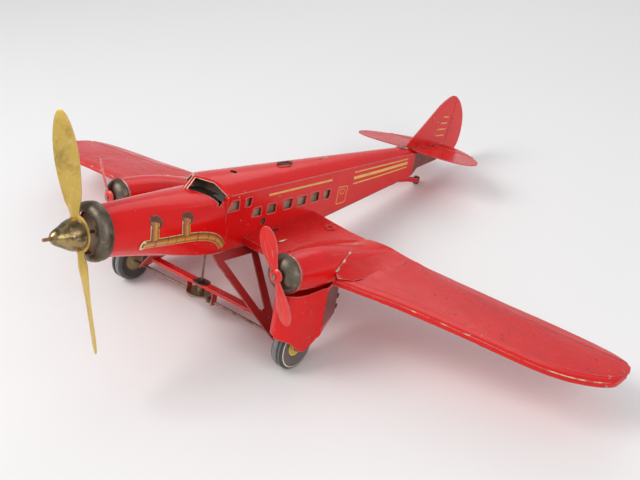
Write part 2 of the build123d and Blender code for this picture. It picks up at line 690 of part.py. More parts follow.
ex, ey = frame_pt(FE)
bx, by = frame_pt(FB)
sg = 1 if ey > 0 else -1
with BuildPart() as landing_frame_left:
    with BuildSketch(FRAME):
        with BuildLine():
            Polyline((-2.6, -0.2 * sg), (bx + 2.6, -0.2 * sg), (bx + 2.6, 4.6 * sg), (ex + 4.4, ey - 4 * sg),
                     (ex + 3.0, ey + 2.6 * sg), (ex - 3.0, ey + 2.6 * sg), (ex - 5.2, ey - 4 * sg),
                     (-2.6, 4.6 * sg), close=True)
        make_face()
        with BuildLine():
            Polyline((3.6, 5.2 * sg), (bx - 3.2, 5.2 * sg), (ex + 2.6, ey - 17 * sg), (ex - 1.4, ey - 15.5 * sg),
                     close=True)
        make_face(mode=Mode.SUBTRACT)
    extrude(amount=0.4, both=True)
    # bore for the axle
    with BuildSketch(Plane.XZ.offset(-40)):
        with Locations((AXLE_X, AXLE_Z)):
            Circle(AXLE_R + RUN)
    extrude(amount=-40, mode=Mode.SUBTRACT)

TIE_Y = 47.6
with BuildPart() as cross_tie:
    with BuildSketch(Plane.XZ.offset(TIE_Y)):
        with BuildLine():
            Polyline((AXLE_X - 3.0, -50.6), (AXLE_X - 3.0, -48.8), (AXLE_X + 3.0, -48.8), (AXLE_X + 3.0, -50.6),
                     (AXLE_X + 2.4, -50.6), (AXLE_X + 2.4, -49.4), (AXLE_X - 2.4, -49.4), (AXLE_X - 2.4, -50.6),
                     close=True)
        make_face()
    extrude(amount=-2 * TIE_Y)
    with BuildSketch(Plane.XY.offset(-55)):
        with Locations((AXLE_X, SHAFT_V_Y)):
            Circle(SHAFT_V_R + RUN)
    extrude(amount=10, mode=Mode.SUBTRACT)

# pressed bearing plate on the tie with a raised collar round the shaft
with BuildPart() as shaft_collar_plate:
    with BuildSketch(Plane.XY.offset(-48.8)):
        with Locations((AXLE_X, SHAFT_V_Y)):
            RectangleRounded(8.6, 9.6, 2.2)
            Circle(SHAFT_V_R + RUN, mode=Mode.SUBTRACT)
    extrude(amount=0.6)
    with BuildSketch(Plane.XY.offset(-48.2)):
        with Locations((AXLE_X, SHAFT_V_Y)):
            Circle(2.0)
            Circle(SHAFT_V_R + RUN, mode=Mode.SUBTRACT)
    extrude(amount=1.0)

# U-shaped hanger under the tie that carries the middle of the axle
with BuildPart() as axle_bracket:
    with BuildSketch(station(AXLE_X - 2.2)):
        with BuildLine():
            y0, y1 = SHAFT_V_Y - 10.6, SHAFT_V_Y + 12.4
            Polyline((y0, -59.6), (y0, -49.4), (y1, -49.4), (y1, -59.6), (y1 - 0.7, -59.6), (y1 - 0.7, -50.1),
                     (y0 + 0.7, -50.1), (y0 + 0.7, -59.6), close=True)
        make_face()
    extrude(amount=4.4)
    with BuildSketch(Plane.XZ.offset(30)):
        with Locations((AXLE_X, AXLE_Z)):
            Circle(AXLE_R + RUN)
    extrude(amount=-60, mode=Mode.SUBTRACT)
    with BuildSketch(Plane.XY.offset(-55)):
        with Locations((AXLE_X, SHAFT_V_Y)):
            Circle(SHAFT_V_R + RUN)
    extrude(amount=10, mode=Mode.SUBTRACT)

with BuildPart() as drive_shaft:
    with BuildSketch(Plane.XY.offset(-55.9)):
        with Locations((AXLE_X, SHAFT_V_Y)):
            Circle(SHAFT_V_R)
    extrude(amount=55.9 + 3.4)

CROWN_N, MOD = 40, 0.4
with BuildPart() as crown_gear:
    with BuildSketch(Plane.XY.offset(-55.55)):
        with Locations((AXLE_X, SHAFT_V_Y)):
            Circle(8.8)
            Circle(SHAFT_V_R, mode=Mode.SUBTRACT)
    extrude(amount=0.7)
    with BuildSketch(Plane.XY.offset(-54.85)):
        with Locations((AXLE_X, SHAFT_V_Y)):
            Circle(2.2)
            Circle(SHAFT_V_R, mode=Mode.SUBTRACT)
    extrude(amount=3.2)
    with BuildSketch(Plane.XY.offset(-55.55)):
        with Locations((AXLE_X, SHAFT_V_Y)):
            with PolarLocations(8.1, CROWN_N, start_angle=90 + 180.0 / CROWN_N):
                Rectangle(1.4, 0.36)
    extrude(amount=-0.8)

with BuildPart() as shaft_worm_wheel:
    with BuildSketch(Plane.XY.offset(-0.9)):
        with BuildLine():
            Polyline(*gear_outline(15, 0.32, 0.0, at=(AXLE_X, SHAFT_V_Y)), close=True)
        make_face()
        with Locations((AXLE_X, SHAFT_V_Y)):
            Circle(SHAFT_V_R, mode=Mode.SUBTRACT)
    extrude(amount=1.8)

with BuildPart() as axle:
    with BuildSketch(Plane.XZ.offset(76.6)):
        with Locations((AXLE_X, AXLE_Z)):
            Circle(AXLE_R)
    extrude(amount=-2 * 76.6)

with BuildPart() as axle_pinion:
    with BuildSketch(Plane.XZ.offset(-(SHAFT_V_Y + 8.1 - 1.1))):
        with BuildLine():
            Polyline(*gear_outline(8, MOD, math.pi / 2, add=0.8, ded=1.0, at=(AXLE_X, AXLE_Z)), close=True)
        make_face()
        with Locations((AXLE_X, AXLE_Z)):
            Circle(AXLE_R, mode=Mode.SUBTRACT)
    extrude(amount=-2.2)


def wheel_profile(side, out):
    """Half section of one pressed wheel half; out is +1 for the half facing away from the fuselage."""
    y0, d = side * WHEEL_Y, side * out
    prof = [(AXLE_R, 0.05), (WHEEL_R - 0.9, 0.05), (WHEEL_R, 0.9), (WHEEL_R, 1.7), (WHEEL_R - 0.8, 2.9),
            (WHEEL_R - 2.6, 3.45), (WHEEL_R - 4.6, 3.1), (6.6, 2.5), (6.2, 2.1), (3.2, 2.1), (2.6, 2.9), (AXLE_R, 2.9)]
    deep = 1.0 if out > 0 else 1.55
    Polyline(*[(AXLE_X + r, y0 + d * h * (deep if h > 0.1 else 1.0)) for r, h in prof], close=True)


WHEEL_AXIS = Axis((AXLE_X, 0, AXLE_Z), (0, 1, 0))

with BuildPart() as wheel_left_outer:
    with BuildSketch(Plane.XY.offset(AXLE_Z)):
        with BuildLine():
            wheel_profile(1, 1)
        make_face()
    revolve(axis=WHEEL_AXIS)

with BuildPart() as wheel_left_inner:
    with BuildSketch(Plane.XY.offset(AXLE_Z)):
        with BuildLine():
            wheel_profile(1, -1)
        make_face()
    revolve(axis=WHEEL_AXIS)

with BuildPart() as wheel_right_outer:
    with BuildSketch(Plane.XY.offset(AXLE_Z)):
        with BuildLine():
            wheel_profile(-1, 1)
        make_face()
    revolve(axis=WHEEL_AXIS)

with BuildPart() as wheel_right_inner:
    with BuildSketch(Plane.XY.offset(AXLE_Z)):
        with BuildLine():
            wheel_profile(-1, -1)
        make_face()
    revolve(axis=WHEEL_AXIS)

# end caps riveted on the axle
with BuildPart() as hub_caps:
    for s in (1, -1):
        with BuildSketch(Plane.XZ.offset(-s * (WHEEL_Y + 2.95))):
            with Locations((AXLE_X, AXLE_Z)):
                Circle(2.6)
                Circle(AXLE_R, mode=Mode.SUBTRACT)
        extrude(amount=-s * 1.0)

# trouser fairing round each main wheel
TR_Y = 71.3
TR = [(-72.0, 0.0), (-74.6, 4.9), (-79.5, 7.9), (-86.0, 8.9), (-103.0, 8.9)]
TR_REAR = (-126.0, 0.6)


def trouser_outline(dy):
    a = [(x + (-dy if i == 0 else 0), TR_Y + max(h - dy, 0)) for i, (x, h) in enumerate(TR)]
    b = [(x, 2 * TR_Y - y) for x, y in a]
    Spline(*a)
    Spline(*b)
    xr, hr = TR_REAR
    Polyline(a[-1], (xr, TR_Y + hr), (xr, TR_Y - hr), b[-1])


with BuildPart() as wheel_fairing_left:
    with BuildSketch(Plane.XY.offset(-62)):
        with BuildLine():
            trouser_outline(0.0)
        make_face()
    extrude(amount=62 - 22.4)
    add(nacelle_outer.part, mode=Mode.SUBTRACT)
    with BuildSketch(Plane.XY.offset(-63)):
        with BuildLine():
            a = [(-72.6, 0.0), (-75.0, 4.4), (-79.8, 7.3), (-86.0, 8.3), (-102.8, 8.3)]
            Spline(*[(x, TR_Y + h) for x, h in a])
            Spline(*[(x, TR_Y - h) for x, h in a])
            Polyline((a[-1][0], TR_Y + a[-1][1]), (-123.6, TR_Y + 0.7), (-123.6, TR_Y - 0.7), (a[-1][0], TR_Y - a[-1][1]))
        make_face()
    extrude(amount=50, mode=Mode.SUBTRACT)
    # outer lower edge: a rounded lobe over the hub
    with BuildSketch(Plane.XZ.offset(-TR_Y)):
        with BuildLine():
            Spline((-60.0, -47.6), (-70.0, -48.2), (-78.0, -50.6), (-84.5, -56.0), (-90.0, -58.0), (-96.0, -56.0),
                   (-103.0, -52.0), (-112.0, -49.4), (-130.0, -46.0))
            Polyline((-130.0, -46.0), (-130.0, -66.0), (-60.0, -66.0), (-60.0, -47.6))
        make_face()
    extrude(amount=-12, mode=Mode.SUBTRACT)
    # inner lower edge clears the axle
    with BuildSketch(Plane.XZ.offset(-TR_Y)):
        with BuildLine():
            Polyline((-60.0, -47.4), (-130.0, -46.0), (-130.0, -66.0), (-60.0, -66.0), close=True)
        make_face()
    extrude(amount=12, mode=Mode.SUBTRACT)

# tail wheel arm: two cheeks joined by a bridge under the belly
with BuildPart() as tail_fork:
    with BuildSketch(Plane.XZ.offset(-2.3)):
        with BuildLine():
            Polyline((-291.0, -2.2), (-296.0, -1.2), (-306.0, -2.0), (-321.0, -4.2), (-324.6, -5.6),
                     (-323.6, -7.6), (-320.6, -7.8), (-304.0, -5.2), (-292.0, -4.4), close=True)
        make_face()
    extrude(amount=4.6)
    with BuildSketch(Plane.XZ.offset(-1.8)):
        with BuildLine():
            Polyline((-299.5, 5.0), (-330.0, 5.0), (-330.0, -12.0), (-299.5, -12.0), close=True)
        make_face()
    extrude(amount=3.6, mode=Mode.SUBTRACT)
    with BuildSketch(Plane.XZ.offset(-5)):
        with Locations((TAIL_X, TAIL_Z_W)):
            Circle(0.6)
    extrude(amount=10, mode=Mode.SUBTRACT)

with BuildPart() as tail_wheel_pin:
    with BuildSketch(Plane.XZ.offset(-2.8)):
        with Locations((TAIL_X, TAIL_Z_W)):
            Circle(0.6)
    extrude(amount=5.6)

with BuildPart() as tail_wheel:
    with BuildSketch(Plane.XZ.offset(-1.5)):
        with Locations((TAIL_X, TAIL_Z_W)):
            Circle(TAIL_R)
            Circle(0.6 + RUN, mode=Mode.SUBTRACT)
    extrude(amount=3.0)

# ---------------------------------------------------------------------------
# small fittings
# ---------------------------------------------------------------------------
with BuildPart() as wing_eyelet_left:
    pl = wing_plane(-158.0, 36.0)
    with BuildSketch(pl.offset(0.02)):
        Circle(3.4)
        Circle(1.9, mode=Mode.SUBTRACT)
    extrude(amount=0.9)

with BuildPart() as hanging_loop:
    with BuildSketch(Plane.XY.offset(23.95)):
        with Locations((-144.0, 3.0)):
            SlotOverall(13.0, 4.6)
            SlotOverall(11.4, 3.0, mode=Mode.SUBTRACT)
    extrude(amount=0.8)

# ---------------------------------------------------------------------------
# starboard pieces
# ---------------------------------------------------------------------------
with BuildPart() as outer_wing_right:
    add(outer_wing_left.part.mirror(Plane.XZ))
with BuildPart() as inner_wing_right:
    add(inner_wing_left.part.mirror(Plane.XZ))
with BuildPart() as nacelle_right:
    add(nacelle_left.part.mirror(Plane.XZ))
with BuildPart() as engine_dome_right:
    add(engine_dome_left.part.mirror(Plane.XZ))
with BuildPart() as engine_pin_right:
    add(engine_pin_left.part.mirror(Plane.XZ))
with BuildPart() as side_propeller_right:
    with BuildSketch(Plane(origin=(SIDE_PROP_X - 0.8, -ENG_Y, ENG_Z), x_dir=(0, 1, 0), z_dir=(1, 0, 0))):
        Circle(4.0)
    extrude(amount=2.2)
    for f in (1, -1):
        bp = blade_plane((SIDE_PROP_X, -ENG_Y, ENG_Z), SIDE_TURN, PITCH_RIGHT, f)
        with BuildSketch(bp.offset(-0.3)):
            with BuildLine():
                Spline(*SIDE_BLADE)
                Spline(*[(-x, y) for x, y in SIDE_BLADE])
                Line((-1.4, 2.0), (1.4, 2.0))
            make_face()
        extrude(amount=0.6)
    with BuildSketch(Plane(origin=(SIDE_PROP_X - 5, -ENG_Y, ENG_Z), x_dir=(0, 1, 0), z_dir=(1, 0, 0))):
        Circle(PIN_R + RUN)
    extrude(amount=10, mode=Mode.SUBTRACT)
with BuildPart() as landing_frame_right:
    add(landing_frame_left.part.mirror(Plane.XZ))
with BuildPart() as wheel_fairing_right:
    add(wheel_fairing_left.part.mirror(Plane.XZ))
with BuildPart() as wing_eyelets:
    add(wing_eyelet_left.part)
    add(wing_eyelet_left.part.mirror(Plane.XZ))

# ---------------------------------------------------------------------------
# stand the toy on its wheels and write every piece
# ---------------------------------------------------------------------------
dx, dz = AXLE_X - TAIL_X, AXLE_Z - TAIL_Z_W
PITCH = math.degrees(math.atan2(dz, dx) - math.asin((WHEEL_R - TAIL_R) / math.hypot(dx, dz)))

turn = Rot(0, PITCH, 0)
rear, front = (turn * fin.part).bounding_box(), (turn * propeller_shaft.part).bounding_box()
low = (turn * wheel_left_inner.part).bounding_box().min.Z
ground = Pos(-(rear.min.X + front.max.X) / 2, 0, -low) * turn
print("pitch", PITCH, "shift", -(rear.min.X + front.max.X) / 2, -low)


def stand(piece):
    return ground * piece


fuselage_shell.part = stand(fuselage_shell.part)
fuselage_shell.part.label = "fuselage_shell"
export_step(fuselage_shell.part, "parts/fuselage_shell.step")

belly_plate.part = stand(belly_plate.part)
belly_plate.part.label = "belly_plate"
export_step(belly_plate.part, "parts/belly_plate.step")

nose_ring.part = stand(nose_ring.part)
nose_ring.part.label = "nose_ring"
export_step(nose_ring.part, "parts/nose_ring.step")

nose_bulkhead.part = stand(nose_bulkhead.part)
nose_bulkhead.part.label = "nose_bulkhead"
export_step(nose_bulkhead.part, "parts/nose_bulkhead.step")

ring_lugs.part = stand(ring_lugs.part)
ring_lugs.part.label = "ring_lugs"
export_step(ring_lugs.part, "parts/ring_lugs.step")

stabilizer.part = stand(stabilizer.part)
stabilizer.part.label = "stabilizer"
export_step(stabilizer.part, "parts/stabilizer.step")

fin.part = stand(fin.part)
fin.part.label = "fin"
export_step(fin.part, "parts/fin.step")

outer_wing_left.part = stand(outer_wing_left.part)
outer_wing_left.part.label = "outer_wing_left"
export_step(outer_wing_left.part, "parts/outer_wing_left.step")

outer_wing_right.part = stand(outer_wing_right.part)
outer_wing_right.part.label = "outer_wing_right"
export_step(outer_wing_right.part, "parts/outer_wing_right.step")

inner_wing_left.part = stand(inner_wing_left.part)
inner_wing_left.part.label = "inner_wing_left"
export_step(inner_wing_left.part, "parts/inner_wing_left.step")

inner_wing_right.part = stand(inner_wing_right.part)
inner_wing_right.part.label = "inner_wing_right"
export_step(inner_wing_right.part, "parts/inner_wing_right.step")

nacelle_left.part = stand(nacelle_left.part)
nacelle_left.part.label = "nacelle_left"
export_step(nacelle_left.part, "parts/nacelle_left.step")

nacelle_right.part = stand(nacelle_right.part)
nacelle_right.part.label = "nacelle_right"
export_step(nacelle_right.part, "parts/nacelle_right.step")

engine_dome_left.part = stand(engine_dome_left.part)
engine_dome_left.part.label = "engine_dome_left"
export_step(engine_dome_left.part, "parts/engine_dome_left.step")

engine_dome_right.part = stand(engine_dome_right.part)
engine_dome_right.part.label = "engine_dome_right"
export_step(engine_dome_right.part, "parts/engine_dome_right.step")

engine_pin_left.part = stand(engine_pin_left.part)
engine_pin_left.part.label = "engine_pin_left"
export_step(engine_pin_left.part, "parts/engine_pin_left.step")

engine_pin_right.part = stand(engine_pin_right.part)
engine_pin_right.part.label = "engine_pin_right"
export_step(engine_pin_right.part, "parts/engine_pin_right.step")

side_propeller_left.part = stand(side_propeller_left.part)
side_propeller_left.part.label = "side_propeller_left"
export_step(side_propeller_left.part, "parts/side_propeller_left.step")

side_propeller_right.part = stand(side_propeller_right.part)
side_propeller_right.part.label = "side_propeller_right"
export_step(side_propeller_right.part, "parts/side_propeller_right.step")

propeller.part = stand(propeller.part)
propeller.part.label = "propeller"
export_step(propeller.part, "parts/propeller.step")

spinner.part = stand(spinner.part)
spinner.part.label = "spinner"
export_step(spinner.part, "parts/spinner.step")

propeller_shaft.part = stand(propeller_shaft.part)
propeller_shaft.part.label = "propeller_shaft"
export_step(propeller_shaft.part, "parts/propeller_shaft.step")

shaft_pinion.part = stand(shaft_pinion.part)
shaft_pinion.part.label = "shaft_pinion"
export_step(shaft_pinion.part, "parts/shaft_pinion.step")

shaft_worm.part = stand(shaft_worm.part)
shaft_worm.part.label = "shaft_worm"
export_step(shaft_worm.part, "parts/shaft_worm.step")

thrust_collar.part = stand(thrust_collar.part)
thrust_collar.part.label = "thrust_collar"
export_step(thrust_collar.part, "parts/thrust_collar.step")

motor_plate_left.part = stand(motor_plate_left.part)
motor_plate_left.part.label = "motor_plate_left"
export_step(motor_plate_left.part, "parts/motor_plate_left.step")

motor_plate_right.part = stand(motor_plate_right.part)
motor_plate_right.part.label = "motor_plate_right"
export_step(motor_plate_right.part, "parts/motor_plate_right.step")

motor_pillars.part = stand(motor_pillars.part)
motor_pillars.part.label = "motor_pillars"
export_step(motor_pillars.part, "parts/motor_pillars.step")

shaft_bearing_plate.part = stand(shaft_bearing_plate.part)
shaft_bearing_plate.part.label = "shaft_bearing_plate"
export_step(shaft_bearing_plate.part, "parts/shaft_bearing_plate.step")

winding_arbor.part = stand(winding_arbor.part)
winding_arbor.part.label = "winding_arbor"
export_step(winding_arbor.part, "parts/winding_arbor.step")

ratchet_wheel.part = stand(ratchet_wheel.part)
ratchet_wheel.part.label = "ratchet_wheel"
export_step(ratchet_wheel.part, "parts/ratchet_wheel.step")

great_wheel.part = stand(great_wheel.part)
great_wheel.part.label = "great_wheel"
export_step(great_wheel.part, "parts/great_wheel.step")

second_arbor.part = stand(second_arbor.part)
second_arbor.part.label = "second_arbor"
export_step(second_arbor.part, "parts/second_arbor.step")

second_pinion.part = stand(second_pinion.part)
second_pinion.part.label = "second_pinion"
export_step(second_pinion.part, "parts/second_pinion.step")

contrate_wheel.part = stand(contrate_wheel.part)
contrate_wheel.part.label = "contrate_wheel"
export_step(contrate_wheel.part, "parts/contrate_wheel.step")

mainspring.part = stand(mainspring.part)
mainspring.part.label = "mainspring"
export_step(mainspring.part, "parts/mainspring.step")

spring_post.part = stand(spring_post.part)
spring_post.part.label = "spring_post"
export_step(spring_post.part, "parts/spring_post.step")

landing_frame_left.part = stand(landing_frame_left.part)
landing_frame_left.part.label = "landing_frame_left"
export_step(landing_frame_left.part, "parts/landing_frame_left.step")

landing_frame_right.part = stand(landing_frame_right.part)
landing_frame_right.part.label = "landing_frame_right"
export_step(landing_frame_right.part, "parts/landing_frame_right.step")

cross_tie.part = stand(cross_tie.part)
cross_tie.part.label = "cross_tie"
export_step(cross_tie.part, "parts/cross_tie.step")

shaft_collar_plate.part = stand(shaft_collar_plate.part)
shaft_collar_plate.part.label = "shaft_collar_plate"
export_step(shaft_collar_plate.part, "parts/shaft_collar_plate.step")

axle_bracket.part = stand(axle_bracket.part)
axle_bracket.part.label = "axle_bracket"
export_step(axle_bracket.part, "parts/axle_bracket.step")

drive_shaft.part = stand(drive_shaft.part)
drive_shaft.part.label = "drive_shaft"
export_step(drive_shaft.part, "parts/drive_shaft.step")

crown_gear.part = stand(crown_gear.part)
crown_gear.part.label = "crown_gear"
export_step(crown_gear.part, "parts/crown_gear.step")

shaft_worm_wheel.part = stand(shaft_worm_wheel.part)
shaft_worm_wheel.part.label = "shaft_worm_wheel"
export_step(shaft_worm_wheel.part, "parts/shaft_worm_wheel.step")

axle.part = stand(axle.part)
axle.part.label = "axle"
export_step(axle.part, "parts/axle.step")

axle_pinion.part = stand(axle_pinion.part)
axle_pinion.part.label = "axle_pinion"
export_step(axle_pinion.part, "parts/axle_pinion.step")

wheel_left_outer.part = stand(wheel_left_outer.part)
wheel_left_outer.part.label = "wheel_left_outer"
export_step(wheel_left_outer.part, "parts/wheel_left_outer.step")

wheel_left_inner.part = stand(wheel_left_inner.part)
wheel_left_inner.part.label = "wheel_left_inner"
export_step(wheel_left_inner.part, "parts/wheel_left_inner.step")

wheel_right_outer.part = stand(wheel_right_outer.part)
wheel_right_outer.part.label = "wheel_right_outer"
export_step(wheel_right_outer.part, "parts/wheel_right_outer.step")

wheel_right_inner.part = stand(wheel_right_inner.part)
wheel_right_inner.part.label = "wheel_right_inner"
export_step(wheel_right_inner.part, "parts/wheel_right_inner.step")

hub_caps.part = stand(hub_caps.part)
hub_caps.part.label = "hub_caps"
export_step(hub_caps.part, "parts/hub_caps.step")

wheel_fairing_left.part = stand(wheel_fairing_left.part)
wheel_fairing_left.part.label = "wheel_fairing_left"
export_step(wheel_fairing_left.part, "parts/wheel_fairing_left.step")

wheel_fairing_right.part = stand(wheel_fairing_right.part)
wheel_fairing_right.part.label = "wheel_fairing_right"
export_step(wheel_fairing_right.part, "parts/wheel_fairing_right.step")

tail_fork.part = stand(tail_fork.part)
tail_fork.part.label = "tail_fork"
export_step(tail_fork.part, "parts/tail_fork.step")

tail_wheel_pin.part = stand(tail_wheel_pin.part)
tail_wheel_pin.part.label = "tail_wheel_pin"
export_step(tail_wheel_pin.part, "parts/tail_wheel_pin.step")

tail_wheel.part = stand(tail_wheel.part)
tail_wheel.part.label = "tail_wheel"
export_step(tail_wheel.part, "parts/tail_wheel.step")

hanging_loop.part = stand(hanging_loop.part)
hanging_loop.part.label = "hanging_loop"
export_step(hanging_loop.part, "parts/hanging_loop.step")

wing_eyelets.part = stand(wing_eyelets.part)
wing_eyelets.part.label = "wing_eyelets"
export_step(wing_eyelets.part, "parts/wing_eyelets.step")
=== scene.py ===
import bpy, bmesh, json, math
from mathutils import Vector, Matrix, noise
from mathutils.bvhtree import BVHTree


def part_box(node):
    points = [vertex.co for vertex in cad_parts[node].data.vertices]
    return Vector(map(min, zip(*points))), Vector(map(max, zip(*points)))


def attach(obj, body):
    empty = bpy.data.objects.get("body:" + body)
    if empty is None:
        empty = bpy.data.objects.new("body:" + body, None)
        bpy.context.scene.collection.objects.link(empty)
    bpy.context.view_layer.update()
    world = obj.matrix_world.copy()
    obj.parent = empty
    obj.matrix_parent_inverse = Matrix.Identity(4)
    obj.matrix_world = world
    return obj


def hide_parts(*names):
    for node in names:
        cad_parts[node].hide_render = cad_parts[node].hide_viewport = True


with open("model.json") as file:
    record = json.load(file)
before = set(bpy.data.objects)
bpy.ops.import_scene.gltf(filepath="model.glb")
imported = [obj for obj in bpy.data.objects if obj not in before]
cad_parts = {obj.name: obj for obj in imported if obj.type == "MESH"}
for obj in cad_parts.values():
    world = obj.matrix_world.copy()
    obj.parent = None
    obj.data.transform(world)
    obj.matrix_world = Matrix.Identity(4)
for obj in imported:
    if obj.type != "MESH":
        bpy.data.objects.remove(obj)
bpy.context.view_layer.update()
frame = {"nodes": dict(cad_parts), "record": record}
NODES = frame["nodes"]
COLL = bpy.context.scene.collection

# ---------------------------------------------------------------------------
# aircraft axes (mm, x to the nose along the thrust line) inside the row frame
# ---------------------------------------------------------------------------
def mid(node):
    lo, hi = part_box(node)
    return (lo + hi) / 2


AXLE_A, TAIL_A = Vector((-90.4, 0, -57.7)), Vector((-322.5, 0, -6.2))
d_w, d_a = mid("axle") - mid("tail_wheel"), AXLE_A - TAIL_A
NOSE_UP = math.atan2(d_w.z, d_w.x) - math.atan2(d_a.z, d_a.x)
CN, SN = math.cos(NOSE_UP), math.sin(NOSE_UP)
TX = mid("axle").x - (AXLE_A.x * CN - AXLE_A.z * SN) / 1000
TZ = mid("axle").z - (AXLE_A.x * SN + AXLE_A.z * CN) / 1000


def W(x, y, z):
    """Aircraft point in mm to the row frame in metres."""
    return Vector(((x * CN - z * SN) / 1000 + TX, y / 1000, (x * SN + z * CN) / 1000 + TZ))


def half_width(x):
    return 17.9 - 0.058 * (-82.0 - x)


def belly(x):
    return -19.0 if x > -150 else -19.0 + (-150 - x) * 20.0 / 154.0


def crease(x):
    return 14.2 + 0.0245 * (-82.0 - x)


def wing_z(x, y):
    return -12.96 - 0.0604 * (abs(y) - 80) - 0.05 * (x + 167)


# ---------------------------------------------------------------------------
# camera, light, floor
# ---------------------------------------------------------------------------
cam = bpy.data.objects.new("camera", bpy.data.cameras.new("camera"))
COLL.objects.link(cam)
cam.data.lens, cam.data.sensor_width = 41.77, 36.0
cx, cy, cz = Vector((-0.635172, 0.772367, -0.002302)), Vector((-0.399259, -0.325785, 0.857004)), Vector((0.661172, 0.545264, 0.515304))
m = Matrix((cx, cy, cz)).transposed().to_4x4()
m.translation = Vector((0.349033, 0.2922, 0.279693))
cam.matrix_world = m
cam.data.clip_start = 0.01
bpy.context.scene.camera = cam


def area(name, pos, aim, size, power, colour):
    data = bpy.data.lights.new(name, "AREA")
    data.shape, data.size, data.energy, data.color = "DISK", size, power, colour
    o = bpy.data.objects.new(name, data)
    COLL.objects.link(o)
    o.location = pos
    o.rotation_mode = "QUATERNION"
    o.rotation_quaternion = (Vector(aim) - Vector(pos)).to_track_quat("-Z", "Y")
    return o


bpy.context.scene.view_settings.view_transform = "Standard"
area("key", (0.75, -0.55, 1.05), (0.0, 0.05, 0.04), 0.75, 9.5, (1.0, 0.985, 0.96))
area("fill", (0.35, 1.15, 0.75), (0.0, 0.1, 0.05), 0.9, 5.5, (1.0, 0.99, 0.98))
area("back", (-1.0, -0.35, 0.9), (0, 0, 0.05), 0.9, 2.2, (1.0, 0.98, 0.95))

world = bpy.data.worlds.new("world")
bpy.context.scene.world = world
world.use_nodes = True
world.node_tree.nodes["Background"].inputs["Color"].default_value = (0.93, 0.95, 1.0, 1)
world.node_tree.nodes["Background"].inputs["Strength"].default_value = 0.60


# ---------------------------------------------------------------------------
# node helpers
# ---------------------------------------------------------------------------
class Mat:
    def __init__(self, name, coords="Object"):
        self.m = bpy.data.materials.new(name)
        self.m.use_nodes = True
        self.t = self.m.node_tree
        self.t.nodes.clear()
        self.out = self.t.nodes.new("ShaderNodeOutputMaterial")
        self.b = self.t.nodes.new("ShaderNodeBsdfPrincipled")
        self.t.links.new(self.b.outputs[0], self.out.inputs[0])
        self.tc = self.t.nodes.new("ShaderNodeTexCoord")
        self.co = self.tc.outputs[coords]

    def link(self, a, b):
        self.t.links.new(a, b)

    def noise(self, scale, detail=4.0, rough=0.55, dist=0.0, vec=None):
        n = self.t.nodes.new("ShaderNodeTexNoise")
        n.inputs["Scale"].default_value = scale
        n.inputs["Detail"].default_value = detail
        n.inputs["Roughness"].default_value = rough
        n.inputs["Distortion"].default_value = dist
        self.link(vec if vec is not None else self.co, n.inputs["Vector"])
        return n.outputs["Fac"]

    def mapping(self, scale, rot=(0, 0, 0), loc=(0, 0, 0)):
        n = self.t.nodes.new("ShaderNodeMapping")
        n.inputs["Scale"].default_value = scale
        n.inputs["Rotation"].default_value = rot
        n.inputs["Location"].default_value = loc
        self.link(self.co, n.inputs["Vector"])
        return n.outputs[0]

    def ramp(self, fac, stops, interp="LINEAR"):
        n = self.t.nodes.new("ShaderNodeValToRGB")
        n.color_ramp.interpolation = interp
        while len(n.color_ramp.elements) < len(stops):
            n.color_ramp.elements.new(0.5)
        for e, (p, c) in zip(n.color_ramp.elements, stops):
            e.position = p
            e.color = c if len(c) == 4 else (*c, 1)
        self.link(fac, n.inputs[0])
        return n.outputs[0]

    def band(self, fac, lo, hi, a=0.0, b=1.0):
        n = self.t.nodes.new("ShaderNodeMapRange")
        n.inputs["From Min"].default_value = lo
        n.inputs["From Max"].default_value = hi
        n.inputs["To Min"].default_value = a
        n.inputs["To Max"].default_value = b
        self.link(fac, n.inputs["Value"])
        return n.outputs[0]

    def math(self, op, a, b=None, clamp=False):
        n = self.t.nodes.new("ShaderNodeMath")
        n.operation = op
        n.use_clamp = clamp
        for i, v in enumerate((a, b)):
            if v is None:
                continue
            if isinstance(v, (int, float)):
                n.inputs[i].default_value = v
            else:
                self.link(v, n.inputs[i])
        return n.outputs[0]

    def mix(self, fac, a, b, mode="MIX"):
        n = self.t.nodes.new("ShaderNodeMix")
        n.data_type = "RGBA"
        n.blend_type = mode
        if isinstance(fac, (int, float)):
            n.inputs[0].default_value = fac
        else:
            self.link(fac, n.inputs[0])
        for i, v in ((6, a), (7, b)):
            if isinstance(v, tuple):
                n.inputs[i].default_value = v if len(v) == 4 else (*v, 1)
            else:
                self.link(v, n.inputs[i])
        return n.outputs[2]

    def edge(self, radius, lo=0.985, hi=0.90):
        """1 on sharp edges, 0 on flats."""
        bev = self.t.nodes.new("ShaderNodeBevel")
        bev.samples = 4
        bev.inputs["Radius"].default_value = radius
        geo = self.t.nodes.new("ShaderNodeNewGeometry")
        dot = self.t.nodes.new("ShaderNodeVectorMath")
        dot.operation = "DOT_PRODUCT"
        self.link(bev.outputs[0], dot.inputs[0])
        self.link(geo.outputs["Normal"], dot.inputs[1])
        return self.band(dot.outputs["Value"], lo, hi)

    def bump(self, height, strength, distance=0.0004, normal=None):
        n = self.t.nodes.new("ShaderNodeBump")
        n.inputs["Strength"].default_value = strength
        n.inputs["Distance"].default_value = distance
        self.link(height, n.inputs["Height"])
        if normal is not None:
            self.link(normal, n.inputs["Normal"])
        return n.outputs[0]


def set_in(b, **k):
    for key, v in k.items():
        b.inputs[key.replace("_", " ")].default_value = v


